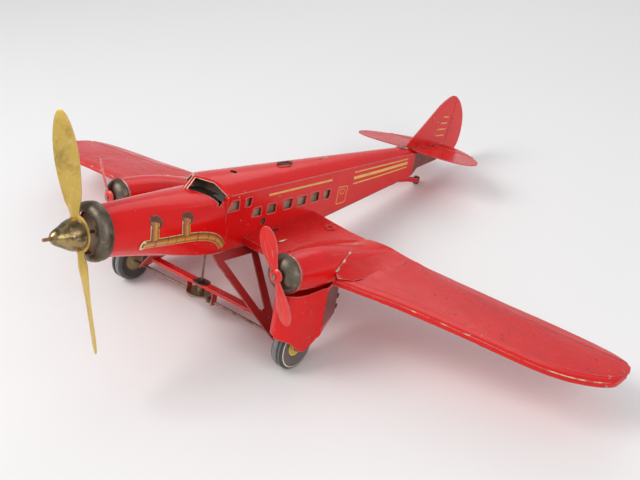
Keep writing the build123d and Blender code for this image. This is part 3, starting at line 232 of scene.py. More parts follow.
def painted(name, base, dark, lift, rough=(0.24, 0.42), chips=0.62, edge_wear=True, metal=(0.62, 0.58, 0.50), coat=0.25, grime=0.35):
    """Lithographed or enamelled tin: colour drift, rubbed patches, fine scratches, chips to bare tin."""
    k = Mat(name)
    drift = k.noise(13.0, 3.0, 0.5)
    c = k.mix(k.band(drift, 0.32, 0.68), (*base, 1), (*lift, 1))
    mott = k.noise(95.0, 5.0, 0.6)
    c = k.mix(k.math("MULTIPLY", k.band(mott, 0.50, 0.78), grime, True), c, (*dark, 1))
    # long rubbed streaks
    streak = k.noise(60.0, 5.0, 0.65, 0.4, k.mapping((0.25, 1.0, 1.0), (0.0, 0.25, 0.3)))
    c = k.mix(k.band(streak, 0.62, 0.80, 0.0, 0.35), c, (*dark, 1))
    # hair scratches
    sc = k.noise(420.0, 3.0, 0.7, 0.0, k.mapping((0.05, 1.0, 1.0), (0.3, 0.1, 0.7)))
    sc2 = k.noise(520.0, 3.0, 0.7, 0.0, k.mapping((1.0, 0.04, 1.0), (0.1, 0.5, 0.25)))
    scr = k.math("MAXIMUM", k.band(sc, 0.70, 0.74), k.band(sc2, 0.715, 0.75))
    area_mask = k.band(k.noise(22.0, 2.0), 0.50, 0.62)
    scr = k.math("MULTIPLY", scr, area_mask)
    # chips
    ch = k.noise(330.0, 6.0, 0.62, 0.3)
    where = k.noise(36.0, 3.0, 0.5)
    chip = k.band(k.math("ADD", ch, k.math("MULTIPLY", where, 0.35)), chips + 0.27, chips + 0.285)
    if edge_wear:
        e = k.edge(0.0007)
        ragged = k.noise(260.0, 4.0, 0.65)
        ew = k.band(k.math("ADD", k.math("MULTIPLY", e, 0.55), ragged), 0.93, 1.0)
        chip = k.math("MAXIMUM", chip, ew)
    bare = k.mix(k.noise(180.0, 3.0), (*metal, 1), (0.20, 0.11, 0.07, 1))
    c = k.mix(k.math("MULTIPLY", scr, 0.55), c, (*lift, 1))
    c = k.mix(chip, c, bare)
    k.link(c, k.b.inputs["Base Color"])
    k.link(k.math("MULTIPLY", chip, 0.75), k.b.inputs["Metallic"])
    r = k.band(k.noise(48.0, 4.0, 0.6), 0.3, 0.7, rough[0], rough[1])
    r = k.math("ADD", r, k.math("MULTIPLY", k.math("MAXIMUM", scr, chip), 0.16), True)
    k.link(r, k.b.inputs["Roughness"])
    h = k.math("SUBTRACT", k.math("MULTIPLY", k.noise(30.0, 2.0), 0.9), k.math("MULTIPLY", k.math("MAXIMUM", chip, k.math("MULTIPLY", scr, 0.3)), 0.10))
    k.link(k.bump(h, 0.30, 0.0011), k.b.inputs["Normal"])
    set_in(k.b, Coat_Weight=coat, Coat_Roughness=0.18, Specular_IOR_Level=0.30)
    return k.m


def metal(name, base, stain, lift, rough=(0.28, 0.5), met=1.0, stain_amt=(0.48, 0.70), scale=60.0, bump=0.25):
    k = Mat(name)
    n1 = k.noise(scale, 6.0, 0.62, 0.5)
    c = k.mix(k.band(n1, stain_amt[0], stain_amt[1]), (*base, 1), (*stain, 1))
    c = k.mix(k.band(k.noise(scale * 3.1, 4.0, 0.6), 0.55, 0.75, 0.0, 0.6), c, (*lift, 1))
    pit = k.band(k.noise(scale * 9.0, 3.0, 0.5), 0.68, 0.74)
    c = k.mix(k.math("MULTIPLY", pit, 0.7), c, (stain[0] * 0.45, stain[1] * 0.42, stain[2] * 0.4, 1))
    e = k.edge(0.0006)
    c = k.mix(k.math("MULTIPLY", e, 0.45), c, (*lift, 1))
    k.link(c, k.b.inputs["Base Color"])
    k.b.inputs["Metallic"].default_value = met
    r = k.band(k.noise(scale * 0.8, 4.0, 0.6), 0.3, 0.7, rough[0], rough[1])
    k.link(k.math("ADD", r, k.math("MULTIPLY", pit, 0.2), True), k.b.inputs["Roughness"])
    k.link(k.bump(k.math("SUBTRACT", k.noise(scale * 2.0, 4.0), k.math("MULTIPLY", pit, 0.5)), bump, 0.0005), k.b.inputs["Normal"])
    return k.m


RED = painted("red_litho", (0.66, 0.003, 0.004), (0.40, 0.002, 0.004), (0.74, 0.010, 0.008), rough=(0.16, 0.30), grime=0.25, coat=0.05)
# same red tin as red_litho, a shade darker: painted shade on the wing panels, fillets and stabilizer
RED_WING_SHADED = painted("red_wing", (0.58, 0.004, 0.005), (0.34, 0.003, 0.004), (0.66, 0.012, 0.010), rough=(0.20, 0.36), chips=0.60, grime=0.34, coat=0.08)
# dark red tin, darkened further as painted shade for the landing frame on its shadowed side
DARK_RED_AND_SHADE = painted("dark_red", (0.30, 0.012, 0.012), (0.10, 0.006, 0.006), (0.42, 0.020, 0.018), rough=(0.35, 0.55), chips=0.60, coat=0.1)
PROP_RED = painted("propeller_red", (0.66, 0.022, 0.020), (0.38, 0.01, 0.01), (0.76, 0.06, 0.05), rough=(0.16, 0.32), chips=0.60, coat=0.2)
AGED = metal("aged_tin", (0.17, 0.14, 0.105), (0.055, 0.043, 0.032), (0.38, 0.33, 0.26), rough=(0.34, 0.56), scale=70.0)
BRASS = metal("brassed_tin", (0.66, 0.45, 0.11), (0.34, 0.21, 0.06), (0.78, 0.60, 0.24), rough=(0.40, 0.58), met=0.75, stain_amt=(0.52, 0.72), scale=75.0)
SPIN = metal("spinner_brass", (0.40, 0.29, 0.13), (0.11, 0.075, 0.04), (0.74, 0.60, 0.34), rough=(0.18, 0.38), stain_amt=(0.42, 0.62), scale=95.0)
STEEL = metal("dull_steel", (0.30, 0.25, 0.20), (0.10, 0.07, 0.05), (0.58, 0.53, 0.46), rough=(0.3, 0.5), scale=120.0)
COPPER = metal("coppery_rod", (0.42, 0.20, 0.13), (0.14, 0.07, 0.05), (0.66, 0.42, 0.32), rough=(0.28, 0.45), scale=120.0)
GEAR = metal("gear_brass", (0.30, 0.24, 0.14), (0.09, 0.065, 0.04), (0.60, 0.52, 0.34), rough=(0.3, 0.5), scale=120.0)
BARE = metal("bare_inside", (0.42, 0.31, 0.22), (0.20, 0.14, 0.095), (0.54, 0.43, 0.32), rough=(0.5, 0.7), met=0.10, scale=60.0)
ROD = metal("brown_rod", (0.26, 0.17, 0.13), (0.10, 0.06, 0.045), (0.48, 0.36, 0.28), rough=(0.3, 0.5), met=0.7, scale=120.0)
# painted shade: dark red for the fairing's back facets and seam, and the aileron crease
PAINTED_SHADE = painted("shaded_back", (0.15, 0.035, 0.035), (0.075, 0.022, 0.022), (0.20, 0.05, 0.048), rough=(0.3, 0.5), chips=0.62, grime=0.5, coat=0.1)
GROM = metal("grommet_brown", (0.17, 0.055, 0.035), (0.07, 0.022, 0.015), (0.36, 0.17, 0.10), rough=(0.3, 0.45), met=0.2, scale=120.0)
TABS = metal("bright_tab", (0.72, 0.60, 0.40), (0.30, 0.18, 0.10), (0.90, 0.84, 0.70), rough=(0.25, 0.4), scale=200.0)
WIRE = metal("dark_wire", (0.10, 0.075, 0.06), (0.04, 0.03, 0.025), (0.26, 0.21, 0.17), rough=(0.35, 0.55), scale=150.0)
# darker red-brown for the tapering tail skin and the dirt on the roof in front of the fin
TAIL_DARK = painted("tail_darker", (0.20, 0.030, 0.024), (0.075, 0.032, 0.024), (0.26, 0.045, 0.035), rough=(0.34, 0.55), chips=0.59, grime=0.8, coat=0.05)


def flat_colour(name, base, other, rough=0.38, scale=160.0):
    """Flat colour on tin: print, black marks, or painted shade in holes and the cockpit well, with rubbed spots."""
    k = Mat(name)
    c = k.mix(k.band(k.noise(scale, 4.0, 0.6), 0.45, 0.7), (*base, 1), (*other, 1))
    worn = k.band(k.noise(scale * 3.3, 4.0, 0.6), 0.66, 0.72)
    c = k.mix(worn, c, (0.50, 0.02, 0.015, 1))
    k.link(c, k.b.inputs["Base Color"])
    k.link(k.band(k.noise(70.0), 0.3, 0.7, rough - 0.08, rough + 0.1), k.b.inputs["Roughness"])
    k.link(k.bump(k.noise(scale * 2), 0.1, 0.0003), k.b.inputs["Normal"])
    set_in(k.b, Coat_Weight=0.2, Coat_Roughness=0.2)
    return k.m


GOLD = flat_colour("print_gold", (0.78, 0.50, 0.10), (0.62, 0.36, 0.07))
CREAM = flat_colour("print_cream", (0.80, 0.70, 0.42), (0.66, 0.52, 0.26))
# black for scuffs and tab marks, and painted shade in holes and slots
BLACK_MARKS_AND_SHADE = flat_colour("black_marks_and_shade", (0.03, 0.02, 0.02), (0.08, 0.03, 0.03))
# lighter red: painted highlight on raised window rims and seam beads, with chipped wear
RIM_HIGHLIGHT = painted("window_rim", (0.66, 0.030, 0.022), (0.36, 0.01, 0.01), (0.74, 0.10, 0.07), chips=0.56, edge_wear=True, coat=0.3)


def wheel_material(name="wheel_rings", inner=False):
    """Pressed wheel printed in rings: tread, black band, cream line, grey disc, yellow hub."""
    k = Mat(name)
    c0 = mid("axle")
    sub = k.t.nodes.new("ShaderNodeVectorMath")
    sub.operation = "SUBTRACT"
    sub.inputs[1].default_value = (c0.x, 0, c0.z)
    k.link(k.co, sub.inputs[0])
    sep = k.t.nodes.new("ShaderNodeSeparateXYZ")
    k.link(sub.outputs[0], sep.inputs[0])
    r2 = k.math("ADD", k.math("MULTIPLY", sep.outputs[0], sep.outputs[0]), k.math("MULTIPLY", sep.outputs[2], sep.outputs[2]))
    r = k.math("MULTIPLY", k.math("SQRT", r2), 1000.0 / 15.0)      # 15 mm is 1
    wob = k.math("MULTIPLY", k.math("SUBTRACT", k.noise(240.0, 2.0), 0.5), 0.012)
    r = k.math("ADD", r, wob)
    stops = [(0.0, (0.62, 0.46, 0.16)), (0.20, (0.66, 0.42, 0.05)), (0.345, (0.78, 0.58, 0.16)), (0.385, (0.055, 0.046, 0.042)), (0.42, (0.125, 0.105, 0.095)),
             (0.76, (0.11, 0.092, 0.084)), (0.785, (0.74, 0.66, 0.48)), (0.822, (0.035, 0.031, 0.031)), (0.918, (0.12, 0.12, 0.115))]
    if inner:
        stops = [(0.0, (0.34, 0.27, 0.13)), (0.44, (0.16, 0.12, 0.07)), (0.48, (0.045, 0.042, 0.042)), (0.78, (0.07, 0.068, 0.066)), (0.90, (0.21, 0.21, 0.20))]
    c = k.ramp(r, stops, "CONSTANT")
    dirt = k.band(k.noise(150.0, 5.0, 0.6), 0.46, 0.72)
    c = k.mix(k.math("MULTIPLY", dirt, 0.35), c, (0.09, 0.07, 0.055, 1))
    rub = k.math("MULTIPLY", k.edge(0.0005, 0.95, 0.82), k.band(k.noise(300.0, 4.0), 0.46, 0.58))
    c = k.mix(rub, c, (0.52, 0.47, 0.40, 1))
    k.link(c, k.b.inputs["Base Color"])
    k.link(k.math("MULTIPLY", rub, 0.8), k.b.inputs["Metallic"])
    k.link(k.band(k.noise(90.0, 4.0), 0.3, 0.7, 0.34, 0.56), k.b.inputs["Roughness"])
    k.link(k.bump(k.noise(220.0, 4.0), 0.18, 0.0005), k.b.inputs["Normal"])
    set_in(k.b, Coat_Weight=0.1, Coat_Roughness=0.3)
    return k.m


WHEEL = wheel_material()
WHEEL_IN = wheel_material("wheel_rings_inner", True)
TYRE = painted("tail_tyre", (0.035, 0.03, 0.03), (0.015, 0.012, 0.012), (0.08, 0.07, 0.07), rough=(0.45, 0.6), chips=0.58, coat=0.0)
# near-black painted shade for the cockpit well and the windscreen corners
INSIDE_SHADE = flat_colour("inside_shade", (0.035, 0.026, 0.022), (0.06, 0.04, 0.03), rough=0.6)

by_slot = {"red_tin": RED, "dark_red_tin": DARK_RED_AND_SHADE, "aged_steel": AGED, "steel": STEEL, "brass": GEAR, "red_propeller": PROP_RED,
           "wheel_tin": WHEEL, "dark_tyre": TYRE}
slot_of = {s["node"]: s["material_slot"] for s in frame["record"]["subparts"]}
special = {"propeller_shaft": COPPER, "spinner": SPIN, "wheel_fairing_left": RED, "wheel_fairing_right": RED,
           "outer_wing_left": RED_WING_SHADED, "outer_wing_right": RED_WING_SHADED, "inner_wing_left": RED_WING_SHADED, "inner_wing_right": RED_WING_SHADED,
           "stabilizer": RED_WING_SHADED, "axle": STEEL, "crown_gear": GEAR, "tail_fork": RED, "nose_bulkhead": BARE,
           "hanging_loop": WIRE, "wing_eyelets": RED_WING_SHADED, "wheel_left_inner": WHEEL_IN, "wheel_right_inner": WHEEL_IN, "shaft_collar_plate": WIRE,
           "drive_shaft": ROD, "cross_tie": RED, "axle": ROD, "axle_bracket": DARK_RED_AND_SHADE}


def dress(o, mat):
    o.data.materials.clear()
    o.data.materials.append(mat)


for name, o in NODES.items():
    dress(o, special.get(name, by_slot[slot_of[name]]))
    for p in o.data.polygons:
        p.use_smooth = True
    mod = o.modifiers.new("edges", "EDGE_SPLIT")
    mod.split_angle = math.radians(32)


# ---------------------------------------------------------------------------
# mesh helpers
# ---------------------------------------------------------------------------
def finish_piece(name, bm, mat, body="airframe", thick=0.0, offset=-1.0, smooth=True, split=35, bevel=0.0, weld=True):
    me = bpy.data.meshes.new(name)
    if weld:
        bmesh.ops.remove_doubles(bm, verts=bm.verts, dist=1e-6)
    bmesh.ops.recalc_face_normals(bm, faces=bm.faces)
    bm.to_mesh(me)
    bm.free()
    o = bpy.data.objects.new(name, me)
    COLL.objects.link(o)
    me.materials.append(mat)
    for p in me.polygons:
        p.use_smooth = smooth
    if thick:
        md = o.modifiers.new("sheet", "SOLIDIFY")
        md.thickness, md.offset = thick, offset
        md.use_even_offset = False
    if bevel:
        md = o.modifiers.new("round", "BEVEL")
        md.width, md.segments, md.limit_method, md.angle_limit = bevel, 2, "ANGLE", math.radians(40)
    if smooth and split:
        md = o.modifiers.new("edges", "EDGE_SPLIT")
        md.split_angle = math.radians(split)
    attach(o, body)
    return o


def grid_mesh(rows, uv=False, close_u=False, flip=False):
    """bmesh from rows of points (row frame, metres)."""
    bm = bmesh.new()
    vs = [[bm.verts.new(p) for p in row] for row in rows]
    n = len(rows[0])
    uvl = bm.loops.layers.uv.new("UVMap") if uv else None
    for i in range(len(rows) - 1):
        for j in range(n - 1 if not close_u else n):
            q = [(i, j), (i, (j + 1) % n), (i + 1, (j + 1) % n), (i + 1, j)]
            if flip:
                q.reverse()
            pts = [vs[a][b] for a, b in q]
            try:
                f = bm.faces.new(pts)
            except ValueError:
                continue
            if uvl:
                for lp, (a, b) in zip(f.loops, q):
                    lp[uvl].uv = (a / (len(rows) - 1), b / (n - 1))
    return bm


def lerp_table(tab, t):
    if t <= tab[0][0]:
        return tab[0][1]
    for (a, va), (b, vb) in zip(tab, tab[1:]):
        if t <= b:
            s = (t - a) / (b - a)
            return va + (vb - va) * s
    return tab[-1][1]


def smooth_table(tab, t):
    """Catmull-Rom through a table of (key, value)."""
    ks = [k for k, _ in tab]
    if t <= ks[0]:
        return tab[0][1]
    if t >= ks[-1]:
        return tab[-1][1]
    i = max(j for j in range(len(ks)) if ks[j] <= t)
    i = min(i, len(ks) - 2)
    p = [tab[max(i - 1, 0)], tab[i], tab[i + 1], tab[min(i + 2, len(ks) - 1)]]
    h = p[2][0] - p[1][0]
    s = (t - p[1][0]) / h
    m1 = (p[2][1] - p[0][1]) / (p[2][0] - p[0][0]) * h
    m2 = (p[3][1] - p[1][1]) / (p[3][0] - p[1][0]) * h
    return ((2 * s**3 - 3 * s**2 + 1) * p[1][1] + (s**3 - 2 * s**2 + s) * m1 + (-2 * s**3 + 3 * s**2) * p[2][1] + (s**3 - s**2) * m2)


def step(a, b, x):
    t = min(max((x - a) / (b - a), 0.0), 1.0)
    return t * t * (3 - 2 * t)


# ---------------------------------------------------------------------------
# outer wing panels: pressed sheet with turned-down edge and aileron crease
# ---------------------------------------------------------------------------
LE = [(81.9, -104.0), (96, -107.5), (114.6, -112.0), (138, -116.0), (160, -119.0), (180, -121.0), (198, -123.6), (210, -127.8),
      (219, -133.6), (225, -139.4), (229, -146.0), (231.0, -156.5)]
TE = [(81.9, -168.0), (98, -168.8), (118.5, -170.6), (151.4, -172.2), (181, -174.4), (205, -175.0), (214, -174.2), (221, -172.2),
      (226, -169.4), (229.4, -165.2), (231.0, -158.5)]
CREASE = [(81.9, -163.6), (103, -163.8), (124, -161.4), (157, -161.2), (186, -163.6), (213, -166.0), (231, -168.0)]
FOLD = [(111.0, 94.8), (119.0, 91.9), (132.0, 91.2), (143.7, 92.9), (167.0, 97.5)]
NV, NU = 150, 92


def outer_wing(side):
    rows = []
    for i in range(NV + 1):
        t = i / NV
        y = 81.7 + (230.7 - 81.7) * math.sin(t * math.pi / 2) ** 0.92
        xl, xt = smooth_table(LE, y), smooth_table(TE, y)
        xc = lerp_table(CREASE, y)
        chord = xl - xt
        fade = step(0.0, 22.0, chord)
        row = []
        for k, drop in enumerate((3.4, 2.4, 1.3)):
            row.append(W(xl + 0.12 - 0.05 * k, side * y, wing_z(xl, y) - drop * (0.35 + 0.65 * fade) - 0.3))
        for j in range(NU + 1):
            u = j / NU
            x = xl - chord * u
            z = wing_z(x, y)
            roll = 1.0 - step(0.0, 3.0, xl - x)
            z -= 0.75 * roll * roll
            z += 0.75 * fade * math.sin(math.pi * min(max(u, 0.0), 1.0)) ** 0.7 - 0.3
            d = x - xc
            z -= 0.55 * math.exp(-(d / 0.85) ** 2) * step(97, 104, y) * fade
            if d < 0:
                z -= 0.10 * (-d) * step(96, 106, y) * fade
            # soft fold where the skin rises to the engine
            yf = lerp_table(FOLD, -x)
            z += 0.42 * math.exp(-((y - yf) / 0.9) ** 2) * step(111, 118, -x) + 0.030 * max(0.0, yf - y) ** 1.35 * step(106, 120, -x)
            # raised lip just behind the leading edge
            z += 0.22 * math.exp(-(((xl - x) - 5.2) / 0.9) ** 2) * fade
            z += 0.32 * noise.noise(Vector((x * 0.045, y * 0.035, 3.1 if side > 0 else 9.4)))
            z += 0.10 * noise.noise(Vector((x * 0.16, y * 0.13, 1.7 if side > 0 else 6.3)))
            row.append(W(x, side * y, z))
        xe = xt
        for k, drop in enumerate((0.5, 1.1)):
            row.append(W(xe - 0.05, side * y, wing_z(xe, y) - drop - 0.9 * fade))
        rows.append(row)
    bm = grid_mesh(rows, flip=side > 0)
    o = finish_piece("outer_panel_left" if side > 0 else "outer_panel_right", bm, RED_WING_SHADED, thick=0.00045, offset=-1.0 if True else 1.0, split=48)
    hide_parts("outer_wing_left" if side > 0 else "outer_wing_right")
    return o


WING_TREE = {}
for s in (1, -1):
    o = outer_wing(s)
    WING_TREE[s] = BVHTree.FromPolygons([v.co.copy() for v in o.data.vertices], [tuple(p.vertices) for p in o.data.polygons])


def on_wing(x, y, side, off):
    """Point on top of the outer panel at aircraft (x, y), off mm proud."""
    up = (W(0, 0, 1) - W(0, 0, 0)).normalized()
    hit, n, _i, _d = WING_TREE[side].ray_cast(W(x, side * y, 12), -up)
    return hit + up * (off / 1000) if hit is not None else W(x, side * y, wing_z(x, y) + 0.4 + off)


# ---------------------------------------------------------------------------
# propellers
# ---------------------------------------------------------------------------
def blade_rows(origin, turn, flip, width, pitch, r0, r1, rib, camber, nr=70, nc=22):
    ox, oy, oz = origin
    a = math.radians(turn)
    s = Vector((0, -math.sin(a), math.cos(a))) * flip
    t = Vector((1, 0, 0)).cross(s)
    rows = []
    for i in range(nr + 1):
        f = i / nr
        r = r0 + (r1 - r0) * (1 - (1 - f) ** 1.5)
        w = max(smooth_table(width, r), 0.02)
        b = math.radians(smooth_table(pitch, r))
        c = Vector((1, 0, 0)) * math.sin(b) + t * math.cos(b)
        n = c.cross(s)
        if n.x < 0:
            n = -n
        row = []
        for j in range(nc + 1):
            v = 2 * j / nc - 1
            h = camber * (1 - v * v) * min(1.0, w / 4.0)
            h += rib(r, v * w)
            p = Vector((ox, oy, oz)) + s * r + c * (v * w) + n * h
            row.append(W(*p))
        rows.append(row)
    return rows


def main_rib(r, d):
    half = 1.9 * (1.0 - (r - 6.0) / 17.5)
    if half <= 0.05:
        return 0.0
    return 0.9 * math.exp(-(d / half) ** 2) * (1 - step(17, 23, r))


def side_rib(r, d):
    e = ((r - 13.5) / 7.6) ** 2 + (d / 1.9) ** 2
    return 0.55 * math.exp(-((e - 0.8) / 0.45) ** 2) if e < 2 else 0.0


MAIN_W = [(5.0, 3.0), (8.0, 3.1), (12.0, 3.6), (15.5, 5.0), (18.0, 5.5), (23.0, 5.9), (30.0, 6.4), (38.0, 6.6), (46.0, 6.1), (53.0, 4.8), (58.0, 3.1), (60.4, 1.4), (61.1, 0.1)]
MAIN_P = [(5.0, 6.0), (14.0, 9.0), (25.0, 20.0), (38.0, 26.0), (61.0, 25.0)]
for k, flip in enumerate((1, -1)):
    rows = blade_rows((3.6, 0, 0), 19.6, flip, MAIN_W, MAIN_P, 5.0, 61.1, main_rib, 0.55)
    o = finish_piece("main_blade_%d" % (k + 1), grid_mesh(rows), BRASS, "propeller_set", thick=0.0007, offset=0.0, split=50)
    if k == 0:
        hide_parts("propeller")


def disc(name, x0, y0, z0, profile, mat, body, seg=64, start=0.0, thick=0.0):
    """Lathe round a line parallel to the thrust line; profile is (x offset, radius)."""
    rows = []
    for dx, r in profile:
        rows.append([W(x0 + dx, y0 + r * math.cos(2 * math.pi * i / seg), z0 + r * math.sin(2 * math.pi * i / seg)) for i in range(seg)])
    return finish_piece(name, grid_mesh(rows, close_u=True), mat, body, thick=thick, offset=0.0, split=38)


disc("propeller_backplate", 3.2, 0, 0, [(0, 0.9), (0, 9.2), (0.25, 9.7), (0.65, 9.7), (0.85, 9.2), (0.85, 0.9), (0, 0.9)], BRASS, "propeller_set")

SIDE_W = [(1.5, 1.9), (4.0, 2.1), (7.0, 2.9), (12.0, 4.2), (17.0, 4.9), (21.0, 4.7), (24.0, 3.6), (26.0, 1.9), (26.7, 0.1)]
SIDE_P = {1: [(1.5, 14.0), (10.0, 10.0), (26.7, 6.0)], -1: [(1.5, -34.0), (10.0, -36.0), (26.7, -38.0)]}
for sgn, nm, body in ((1, "left", "left_propeller"), (-1, "right", "right_propeller")):
    for k, flip in enumerate((1, -1)):
        rows = blade_rows((-67.8, sgn * 70.2, -11.3), 27.6, flip, SIDE_W, SIDE_P[sgn], 1.5, 26.7, side_rib, 0.3, 46, 20)
        o = finish_piece("%s_blade_%d" % (nm, k + 1), grid_mesh(rows), PROP_RED, body, thick=0.0006, offset=0.0, split=50)
        if k == 0:
            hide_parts("side_propeller_" + nm)
    disc(nm + "_propeller_boss", -67.8, sgn * 70.2, -11.3,
         [(-0.7, 0.75), (-0.7, 3.6), (-0.3, 4.1), (0.4, 4.1), (1.1, 3.4), (1.45, 2.2), (1.5, 0.75), (-0.7, 0.75)], PROP_RED, body, seg=40)

# ---------------------------------------------------------------------------
# floor
# ---------------------------------------------------------------------------
bm = bmesh.new()
prof = []
for i in range(40):
    prof.append((-3.2 + 6.4 * i / 39, 0.0))
floor_rows = [[Vector((x, y, 0.0)) for x in (-9, -3, -1, 0, 1, 3, 9)] for y in (-9, -3, -1, 0, 1, 3, 9)]
bm.free()
bm = grid_mesh(floor_rows)
me = bpy.data.meshes.new("floor")
bm.to_mesh(me)
bm.free()
floor = bpy.data.objects.new("floor", me)
COLL.objects.link(floor)
kf = Mat("floor_paper")
kf.link(kf.mix(kf.noise(1.6, 3.0), (0.80, 0.79, 0.775, 1), (0.84, 0.835, 0.83, 1)), kf.b.inputs["Base Color"])
kf.link(kf.band(kf.noise(30.0), 0, 1, 0.55, 0.7), kf.b.inputs["Roughness"])
kf.link(kf.bump(kf.noise(900.0, 2.0), 0.03, 0.0002), kf.b.inputs["Normal"])
me.materials.append(kf.m)


# ---------------------------------------------------------------------------
# projecting prints and embossed rims on to the fuselage
# ---------------------------------------------------------------------------
dg = bpy.context.evaluated_depsgraph_get()
HULL = BVHTree.FromPolygons([v.co.copy() for v in NODES["fuselage_shell"].data.vertices],
                            [tuple(p.vertices) for p in NODES["fuselage_shell"].data.polygons])


def on_side(x, z, side, off):
    """Point on the fuselage side at aircraft (x, z), off mm proud."""
    if x < -80.0:
        zb, zc = belly(x), crease(x)
        f = (z - zb) / (zc - zb) * 2 - 1
        y = half_width(x) + 0.12 * max(0.0, 1 - f * f)
        return W(x, side * (y + off), z)
    o, d = W(x, side * 45, z), Vector((0, -side, 0))
    hit, n, _i, _d = HULL.ray_cast(o, d)
    if hit is None:
        return W(x, side * (half_width(x) + off), z)
    if n.dot(d) > 0:
        n = -n
    return hit + n * (off / 1000)


def ribbon(name, path, width, side, mat, off=0.05, crown=0.0, closed=False, across=4, stepmm=0.8, thick=0.0):
    """Strip along a path on the fuselage side, crowned across its width."""
    pts = []
    n = len(path)
    segs = range(n if closed else n - 1)
    for i in segs:
        a, b = Vector(path[i]), Vector(path[(i + 1) % n])
        k = max(1, int((b - a).length / stepmm))
        for j in range(k):
            pts.append(a.lerp(b, j / k))
    if not closed:
        pts.append(Vector(path[-1]))
    rows = []
    cnt = len(pts)
    for i, p in enumerate(pts):
        a = pts[(i - 1) % cnt] if closed or i > 0 else p
        b = pts[(i + 1) % cnt] if closed or i < cnt - 1 else p
        t = (b - a).normalized()
        nrm = Vector((-t.y, t.x))
        w = width(i / max(cnt - 1, 1)) if callable(width) else width
        row = []
        for j in range(across + 1):
            v = 2 * j / across - 1
            q = p + nrm * (v * w / 2)
            row.append(on_side(q.x, q.y, side, off + crown * (1 - v * v)))
        rows.append(row)
    if closed:
        rows.append(rows[0])
    bm = grid_mesh(rows, uv=True)
    return finish_piece(name, bm, mat, thick=thick, offset=0.0, split=60)


def patch(name, outline, side, mat, off=0.04):
    """Flat printed patch on the fuselage side."""
    bm = bmesh.new()
    vs = [bm.verts.new((x, z, 0)) for x, z in outline]
    f = bm.faces.new(vs)
    bmesh.ops.triangulate(bm, faces=[f])
    for _ in range(3):
        long = [e for e in bm.edges if e.calc_length() > 2.5]
        if not long:
            break
        bmesh.ops.subdivide_edges(bm, edges=long, cuts=1)
    bmesh.ops.triangulate(bm, faces=bm.faces)
    for v in bm.verts:
        v.co = on_side(v.co.x, v.co.y, side, off)
    return finish_piece(name, bm, mat, split=60)


def rounded(pts, r=0.9, k=3):
    """Corner-rounded polygon."""
    out = []
    n = len(pts)
    for i in range(n):
        a, b, c = Vector(pts[i - 1]), Vector(pts[i]), Vector(pts[(i + 1) % n])
        p, q = b + (a - b).normalized() * r, b + (c - b).normalized() * r
        for j in range(k + 1):
            t = j / k
            out.append(tuple((1 - t) ** 2 * p + 2 * t * (1 - t) * b + t * t * q))
    return out


WINDOWS = [
    [(-80.8, 4.9), (-91.0, 5.2), (-90.9, 10.8), (-85.2, 10.9)],
    [(-96.5, 5.7), (-101.4, 5.8), (-102.2, 11.0), (-96.7, 10.9)],
    [(-103.6, -1.4), (-112.2, -1.9), (-112.0, 3.7), (-105.0, 3.5)],
    [(-118.0, -2.1), (-126.3, -1.9), (-126.4, 3.9), (-117.7, 4.0)],
    [(-134.2, -1.8), (-142.6, -1.6), (-143.2, 4.7), (-133.4, 4.6)],
    [(-148.5, -2.0), (-157.9, -1.6), (-158.4, 4.6), (-147.9, 4.6)],
    [(-163.0, -1.5), (-172.6, -1.3), (-172.4, 5.3), (-163.1, 5.0)],
    [(-178.4, -1.4), (-185.2, -1.3), (-186.0, 4.8), (-178.2, 5.0)],
]


def grow(pts, d):
    c = sum((Vector(p) for p in pts), Vector((0, 0))) / len(pts)
    return [tuple(Vector(p) + Vector(((p[0] - c.x) / abs(p[0] - c.x) * d, (p[1] - c.y) / abs(p[1] - c.y) * d))) for p in pts]


for side, tag in ((1, "left"), (-1, "right")):
    for i, w in enumerate(WINDOWS):
        # window rims in lighter red: painted highlight on the raised rims
        ribbon("window_rim_%s_%d" % (tag, i + 1), rounded(grow(w, 0.35), 1.1), 1.15, side, RIM_HIGHLIGHT, off=-0.05, crown=0.42, closed=True, across=6, stepmm=0.7)
    # door outline, door window and pinstripes printed on the side
    ribbon("door_line_" + tag, rounded([(-195.5, -7.4), (-206.5, -7.0), (-207.4, 4.6), (-195.9, 5.0)], 1.6), 0.5, side, GOLD, off=0.05, closed=True, across=2)
    ribbon("door_window_" + tag, rounded([(-198.6, -0.4), (-203.6, -0.2), (-203.9, 3.0), (-198.8, 3.2)], 0.9), 0.35, side, GOLD, off=0.05, closed=True, across=2)
    ribbon("stripe_high_" + tag, [(-214.0, 13.6), (-250.0, 14.6), (-292.0, 15.8)], 0.9, side, GOLD, off=0.05, across=2, stepmm=3)
    ribbon("stripe_mid_" + tag, [(-214.0, 9.4), (-250.0, 10.6), (-292.0, 12.6)], 2.1, side, GOLD, off=0.05, across=2, stepmm=3)
    ribbon("stripe_low_" + tag, [(-214.0, 5.2), (-250.0, 6.8), (-292.0, 9.4)], 0.9, side, GOLD, off=0.05, across=2, stepmm=3)
    ribbon("cabin_stripe_" + tag, [(-118.0, 10.2), (-150.0, 10.8), (-186.0, 11.4)], 1.3, side, GOLD, off=0.05, across=2, stepmm=3)


